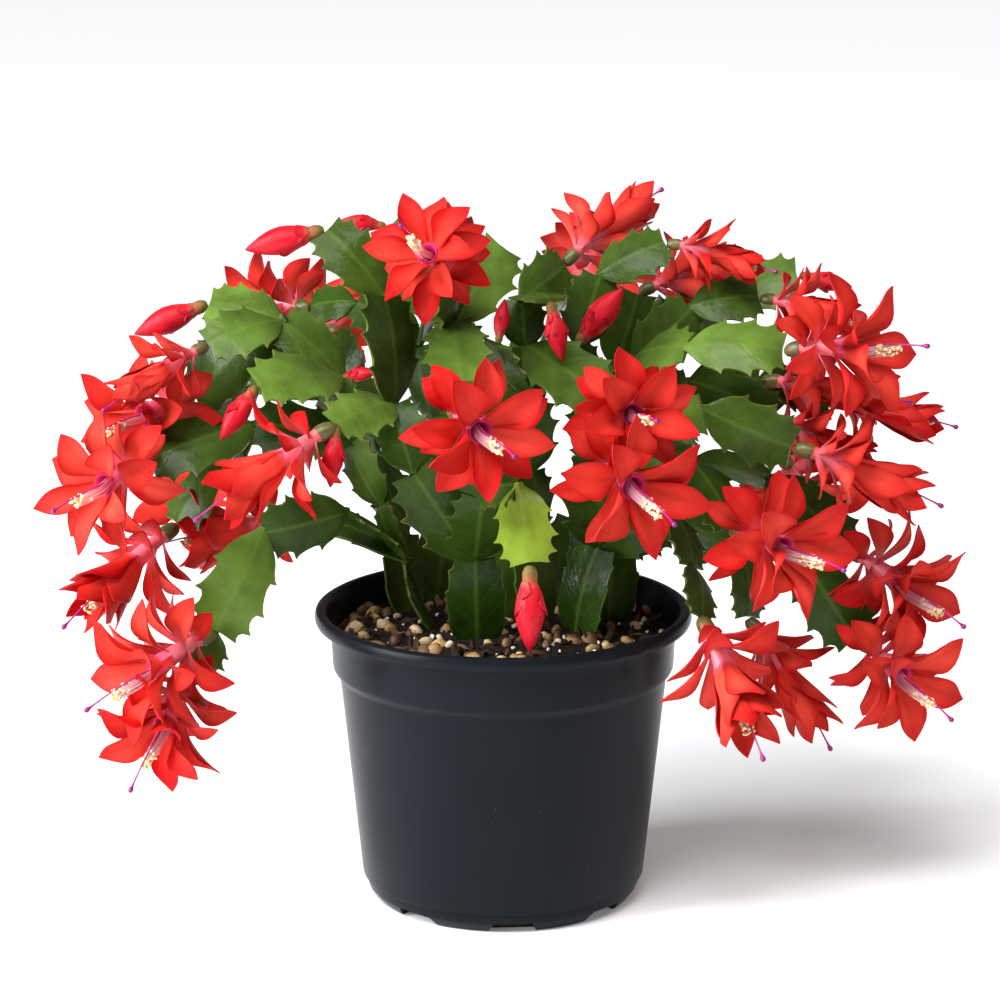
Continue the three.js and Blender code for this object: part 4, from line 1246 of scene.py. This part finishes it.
def threaded(path, radii, sides):
    """A closed thread of rings along a path"""
    ahead = np.gradient(path, axis=0)
    ahead /= np.linalg.norm(ahead, axis=1)[:, None]
    helper = np.array((0.3, 0.5, 0.81))
    one = np.cross(ahead, helper)
    one /= np.linalg.norm(one, axis=1)[:, None]
    other = np.cross(ahead, one)
    angles = np.arange(sides) * 2 * math.pi / sides
    rings = [
        path[i] + radii[i] * (np.outer(np.cos(angles), one[i]) + np.outer(np.sin(angles), other[i]))
        for i in range(len(path))
    ]
    last = (len(path) - 1) * sides
    start, end = tuple(range(sides))[::-1], tuple(range(last, last + sides))
    faces = [start, *band_faces(len(path), sides), end]
    shares = np.repeat(np.linspace(0, 1, len(path)), sides)
    flow = np.column_stack((shares, np.tile(angles / 7, len(path))))
    return Shape(np.concatenate(rings), faces, flow)


def flower_looks(sizes):
    """The looks that all the blooms share"""
    return {
        "outer_petal": petal_look("outer_petal", sizes, 0.3),
        "inner_petal": petal_look("inner_petal", sizes, 0.13),
        "tube": tube_look(sizes),
        "ovary": ovary_look(),
        "filament": filament_look(),
        "anther": anther_look(),
        "style": style_look(),
    }


def add_stamens(bundle, looks, flower, anther, sizes, size, rng):
    """The close brush of filaments with their anthers, lying just below the style"""
    steps = np.linspace(0, 1, FILAMENT_RINGS)
    floor = THROAT_FLOOR * MM * size
    for number in range(sizes.stamens):
        angle = number * GOLDEN_ANGLE
        share = math.sqrt((number + 0.5) / sizes.stamens)
        start = STAMEN_START * MM * size * share
        end = (STAMEN_END + STAMEN_SPREAD * share) * MM * size
        reach = rng.uniform(*STAMEN_REACH) * MM * size
        heights = floor + (reach - floor) * steps
        radii = start + (end - start) * steps
        sag = STAMEN_SAG * MM * size * np.sin(math.pi * steps * 0.8)
        path = flower.at(radii, angle, heights) - np.outer(sag, flower.top)
        thread = threaded(path, np.full(FILAMENT_RINGS, FILAMENT_RADIUS * MM), FILAMENT_SIDES)
        bundle.add(thread, thread.points, looks["filament"])
        turn = random_turn(rng)
        grain = anther.points * ANTHER_SIZE * MM @ turn.T + path[-1]
        bundle.add(anther, grain, looks["anther"])


def add_style(bundle, looks, flower, size):
    """The style and its knob, which stand furthest out"""
    steps, radii = np.array(STYLE_PROFILE).T
    heights = (THROAT_FLOOR + STYLE_REACH * steps) * MM * size
    bend = STYLE_BEND * MM * size * np.sin(math.pi * steps)
    path = flower.at(0.0, 0.0, heights) + np.outer(bend, flower.top)
    thread = threaded(path, radii * MM, STYLE_SIDES)
    bundle.add(thread, thread.points, looks["style"])


def add_whorl(bundle, look, flower, petal, whorl, tint, rng):
    """A whorl of petals round the tube: their number, the radius and height of their roots, the whorl's
    turn in petals, the lean in degrees at root and tip, how much more the upper ones lean, length, half
    width and cupping"""
    number, root_radius, root_height, turn, leans, top_lean, length, half_width, cup = whorl
    for place in range(number):
        angle = (place + turn) * 2 * math.pi / number + rng.uniform(-STRAY_TURN, STRAY_TURN)
        more = top_lean * math.cos(angle) + rng.uniform(-STRAY_LEAN, STRAY_LEAN)
        lean = [math.radians(leans[0] + 0.3 * more), math.radians(leans[1] + more)]
        points = bent_petal(
            flower, petal, (root_radius, root_height), angle, lean, length * rng.uniform(*STRAY_LENGTH),
            half_width * rng.uniform(*STRAY_WIDTH), cup + rng.uniform(-STRAY_CUP, STRAY_CUP),
            rng.uniform(-STRAY_TWIST, STRAY_TWIST))
        shade = tint + rng.uniform(-STRAY_TINT, STRAY_TINT)
        bundle.add(petal, points, look, min(1.0, max(0.0, shade)))


class CACTUS_OT_blooms(bpy.types.Operator):
    """Model the blooms: one petal, bent and copied in whorls round each tube, with stamens and style"""

    bl_idname = "cactus.blooms"
    bl_label = "Blooms"

    def execute(self, context):
        sizes = context.scene.cactus_bloom
        looks = flower_looks(sizes)
        petal = model_petal(sizes)
        anther = model_grain("anther", 1, (1.5, 0.7, 0.7), 0.0, 1)
        tube = ringed(TUBE_RINGS, TUBE_SIDES)
        ovary_rings = [(height, radius + OVARY_SWELL) for height, radius in TUBE_RINGS if height < OVARY_TOP]
        ovary = ringed(ovary_rings, OVARY_SIDES)
        for number, (joint, compass, rise, opened, size) in enumerate(BLOOMS, start=1):
            rng = np.random.default_rng(SEED + BLOOM_SEED_STEP * number)
            flower = Flower(joint, compass, rise, TUBE_ARCH * MM)
            bundle = Bundle(list(looks.values()))
            bundle.add(tube, flower.around(tube, size), looks["tube"])
            bundle.add(ovary, flower.around(ovary, size), looks["ovary"])
            outer, inner = sizes.outer_length * size, sizes.inner_length * size
            unit = MM * size
            outside, inside = opened ** 0.4, opened ** 1.8
            outer_whorls = [
                (4, 2.3 * unit, 9.5 * unit, 0.5, (30 + 42 * outside, 24 + 116 * outside), 10 * opened,
                 0.8 * outer, 4.6 * unit, 0.32),
                (5, 2.5 * unit, 14.5 * unit, 0.5, (24 + 40 * outside, 12 + 116 * outside), 12 * opened,
                 outer, 5.7 * unit, 0.48),
            ]
            inner_whorls = [
                (5, 3.0 * unit, 21 * unit, 1.0, (16 + 36 * inside, 112 * inside), 12 * opened,
                 0.96 * inner, 6.2 * unit, 0.62),
                (5, 3.4 * unit, 25.5 * unit, 0.5, (12 + 26 * inside, 80 * inside), 12 * opened,
                 inner, 6.4 * unit, 0.7),
            ]
            tint = rng.uniform(0.15, 0.6)
            for whorls, look in ((outer_whorls, "outer_petal"), (inner_whorls, "inner_petal")):
                for whorl in whorls:
                    add_whorl(bundle, looks[look], flower, petal, whorl, tint, rng)
            add_stamens(bundle, looks, flower, anther, sizes, size, rng)
            add_style(bundle, looks, flower, size)
            node = f"bloom_{number:02d}"
            bloom = bundle.piece(node + "_fine")
            smooth(bloom, CREASES["bloom"])
            put_in_place(bloom, node)
        return {"FINISHED"}


def model_spindle():
    """The wound body of a bud: rings whose radius steps back along each fold"""
    spindle = ringed([(height, radius) for height, radius, _ in BUD_RINGS], BUD_SIDES)
    radii, turns, heights = spindle.points.T
    depth = np.concatenate((np.repeat([fold for _, _, fold in BUD_RINGS], BUD_SIDES), (0.0, 0.0)))
    winding = (turns * BUD_FOLDS / (2 * math.pi) + heights / MM * BUD_WINDING) % 1.0
    spindle.points[:, 0] = radii * (1 + depth * (winding - 0.6))
    return spindle


class CACTUS_OT_buds(bpy.types.Operator):
    """Model the buds: a spindle of wound petals on a green cup, with small scales at its foot"""

    bl_idname = "cactus.buds"
    bl_label = "Buds"

    def execute(self, context):
        sizes = context.scene.cactus_bloom
        look = bud_look()
        petal = model_petal(sizes)
        spindle = model_spindle()
        for number, (joint, compass, rise, length) in enumerate(BUDS, start=1):
            rng = np.random.default_rng(BUD_SEED + number)
            flower = Flower(joint, compass, rise)
            size = length / BUD_LENGTH
            unit = MM * size
            bundle = Bundle([look])
            bundle.add(spindle, flower.around(spindle, size), look)
            scales = [
                (4, 2.5 * unit, 6.0 * unit, 0.5, (26, 10), 0, 8 * unit, 2.6 * unit, 0.4),
                (5, 3.0 * unit, 9.0 * unit, 1.0, (27, 0), 0, 12.5 * unit, 3.6 * unit, 0.5),
            ]
            for whorl in scales:
                add_whorl(bundle, look, flower, petal, whorl, 0.1, rng)
            node = f"bud_{number:02d}"
            bud = bundle.piece(node + "_fine")
            smooth(bud, CREASES["bud"])
            put_in_place(bud, node)
        return {"FINISHED"}


def add_soft_box(name, place, aim, size, power, colour):
    """A soft box that looks at a point"""
    deselect_all()
    bpy.ops.object.light_add(type="AREA", location=place)
    lamp = bpy.context.object
    lamp.name = name
    lamp.data.shape = "RECTANGLE"
    lamp.data.size, lamp.data.size_y = size
    lamp.data.energy = power
    lamp.data.color = colour
    lamp.rotation_euler = (Vector(aim) - Vector(place)).to_track_quat("-Z", "Y").to_euler()


class CACTUS_OT_stage(bpy.types.Operator):
    """Set the pale floor, the soft lights and the camera"""

    bl_idname = "cactus.stage"
    bl_label = "Stage"

    def execute(self, context):
        sizes = context.scene.cactus_stage
        deselect_all()
        bpy.ops.mesh.primitive_plane_add(size=12)
        floor = context.object
        floor.name = "floor"
        look = Look("pale_floor", Roughness=0.9)
        look.colour(look.mix(look.noise(3.0), shaded(sizes.floor, 0.985), sizes.floor))
        # A faint glow keeps the floor near white
        look.shader.inputs["Emission Color"].default_value = (1.0, 1.0, 1.0, 1.0)
        look.shader.inputs["Emission Strength"].default_value = 0.13
        floor.data.materials.append(look.material)
        world = bpy.data.worlds.new("studio")
        world.use_nodes = True
        background = world.node_tree.nodes["Background"]
        background.inputs["Color"].default_value = (0.98, 0.99, 1.0, 1.0)
        background.inputs["Strength"].default_value = 0.18
        context.scene.world = world
        middle = (0.0, 0.0, 0.15)
        add_soft_box("window_left", (-1.35, -0.55, 0.75), middle, (0.8, 1.3), 58.0, (0.9, 0.95, 1.0))
        add_soft_box("front_top", (0.3, -1.2, 2.0), middle, (1.0, 0.5), 15.0, (1.0, 0.99, 0.97))
        add_soft_box("right_fill", (1.6, -0.4, 0.9), middle, (0.8, 1.2), 2.0, (1.0, 1.0, 1.0))
        deselect_all()
        bpy.ops.object.light_add(type="SUN", rotation=(math.radians(26), math.radians(-16), 0))
        sky = context.object
        sky.name = "ceiling"
        sky.data.angle = math.radians(30)
        sky.data.energy = 2.4
        deselect_all()
        bpy.ops.object.camera_add(location=[part * MM for part in CAMERA_PLACE])
        camera = context.object
        camera.rotation_euler = (math.pi / 2 - sizes.pitch, 0, 0)
        camera.data.lens = sizes.lens
        camera.data.sensor_width = SENSOR_WIDTH
        context.scene.camera = camera
        context.scene.view_settings.view_transform = "Standard"
        return {"FINISHED"}


OPERATORS = (
    CACTUS_OT_stage,
    CACTUS_OT_pot,
    CACTUS_OT_potting_mix,
    CACTUS_OT_stems,
    CACTUS_OT_buds,
    CACTUS_OT_blooms,
)
GROUPS = {
    "cactus_pot": PotSizes,
    "cactus_mix": MixSizes,
    "cactus_segment": SegmentSizes,
    "cactus_bloom": BloomSizes,
    "cactus_stage": StageSizes,
}


class CACTUS_PT_sidebar(bpy.types.Panel):
    """The cactus's pieces and sizes"""

    bl_label = "Christmas Cactus"
    bl_idname = "CACTUS_PT_sidebar"
    bl_space_type = "VIEW_3D"
    bl_region_type = "UI"
    bl_category = "Cactus"

    def draw(self, context):
        for operator in OPERATORS:
            self.layout.operator(operator.bl_idname)
        for name, group in GROUPS.items():
            column = self.layout.column()
            for key in group.__annotations__:
                column.prop(getattr(context.scene, name), key)


def register():
    for group in GROUPS.values():
        bpy.utils.register_class(group)
    for name, group in GROUPS.items():
        setattr(bpy.types.Scene, name, PointerProperty(type=group))
    for operator in OPERATORS:
        bpy.utils.register_class(operator)
    bpy.utils.register_class(CACTUS_PT_sidebar)


def unregister():
    bpy.utils.unregister_class(CACTUS_PT_sidebar)
    for operator in reversed(OPERATORS):
        bpy.utils.unregister_class(operator)
    for name, group in GROUPS.items():
        delattr(bpy.types.Scene, name)
        bpy.utils.unregister_class(group)


def main():
    register()
    bpy.ops.cactus.stage()
    bpy.ops.cactus.pot()
    bpy.ops.cactus.potting_mix()
    bpy.ops.cactus.stems()
    bpy.ops.cactus.buds()
    bpy.ops.cactus.blooms()


if __name__ == "__main__":
    main()
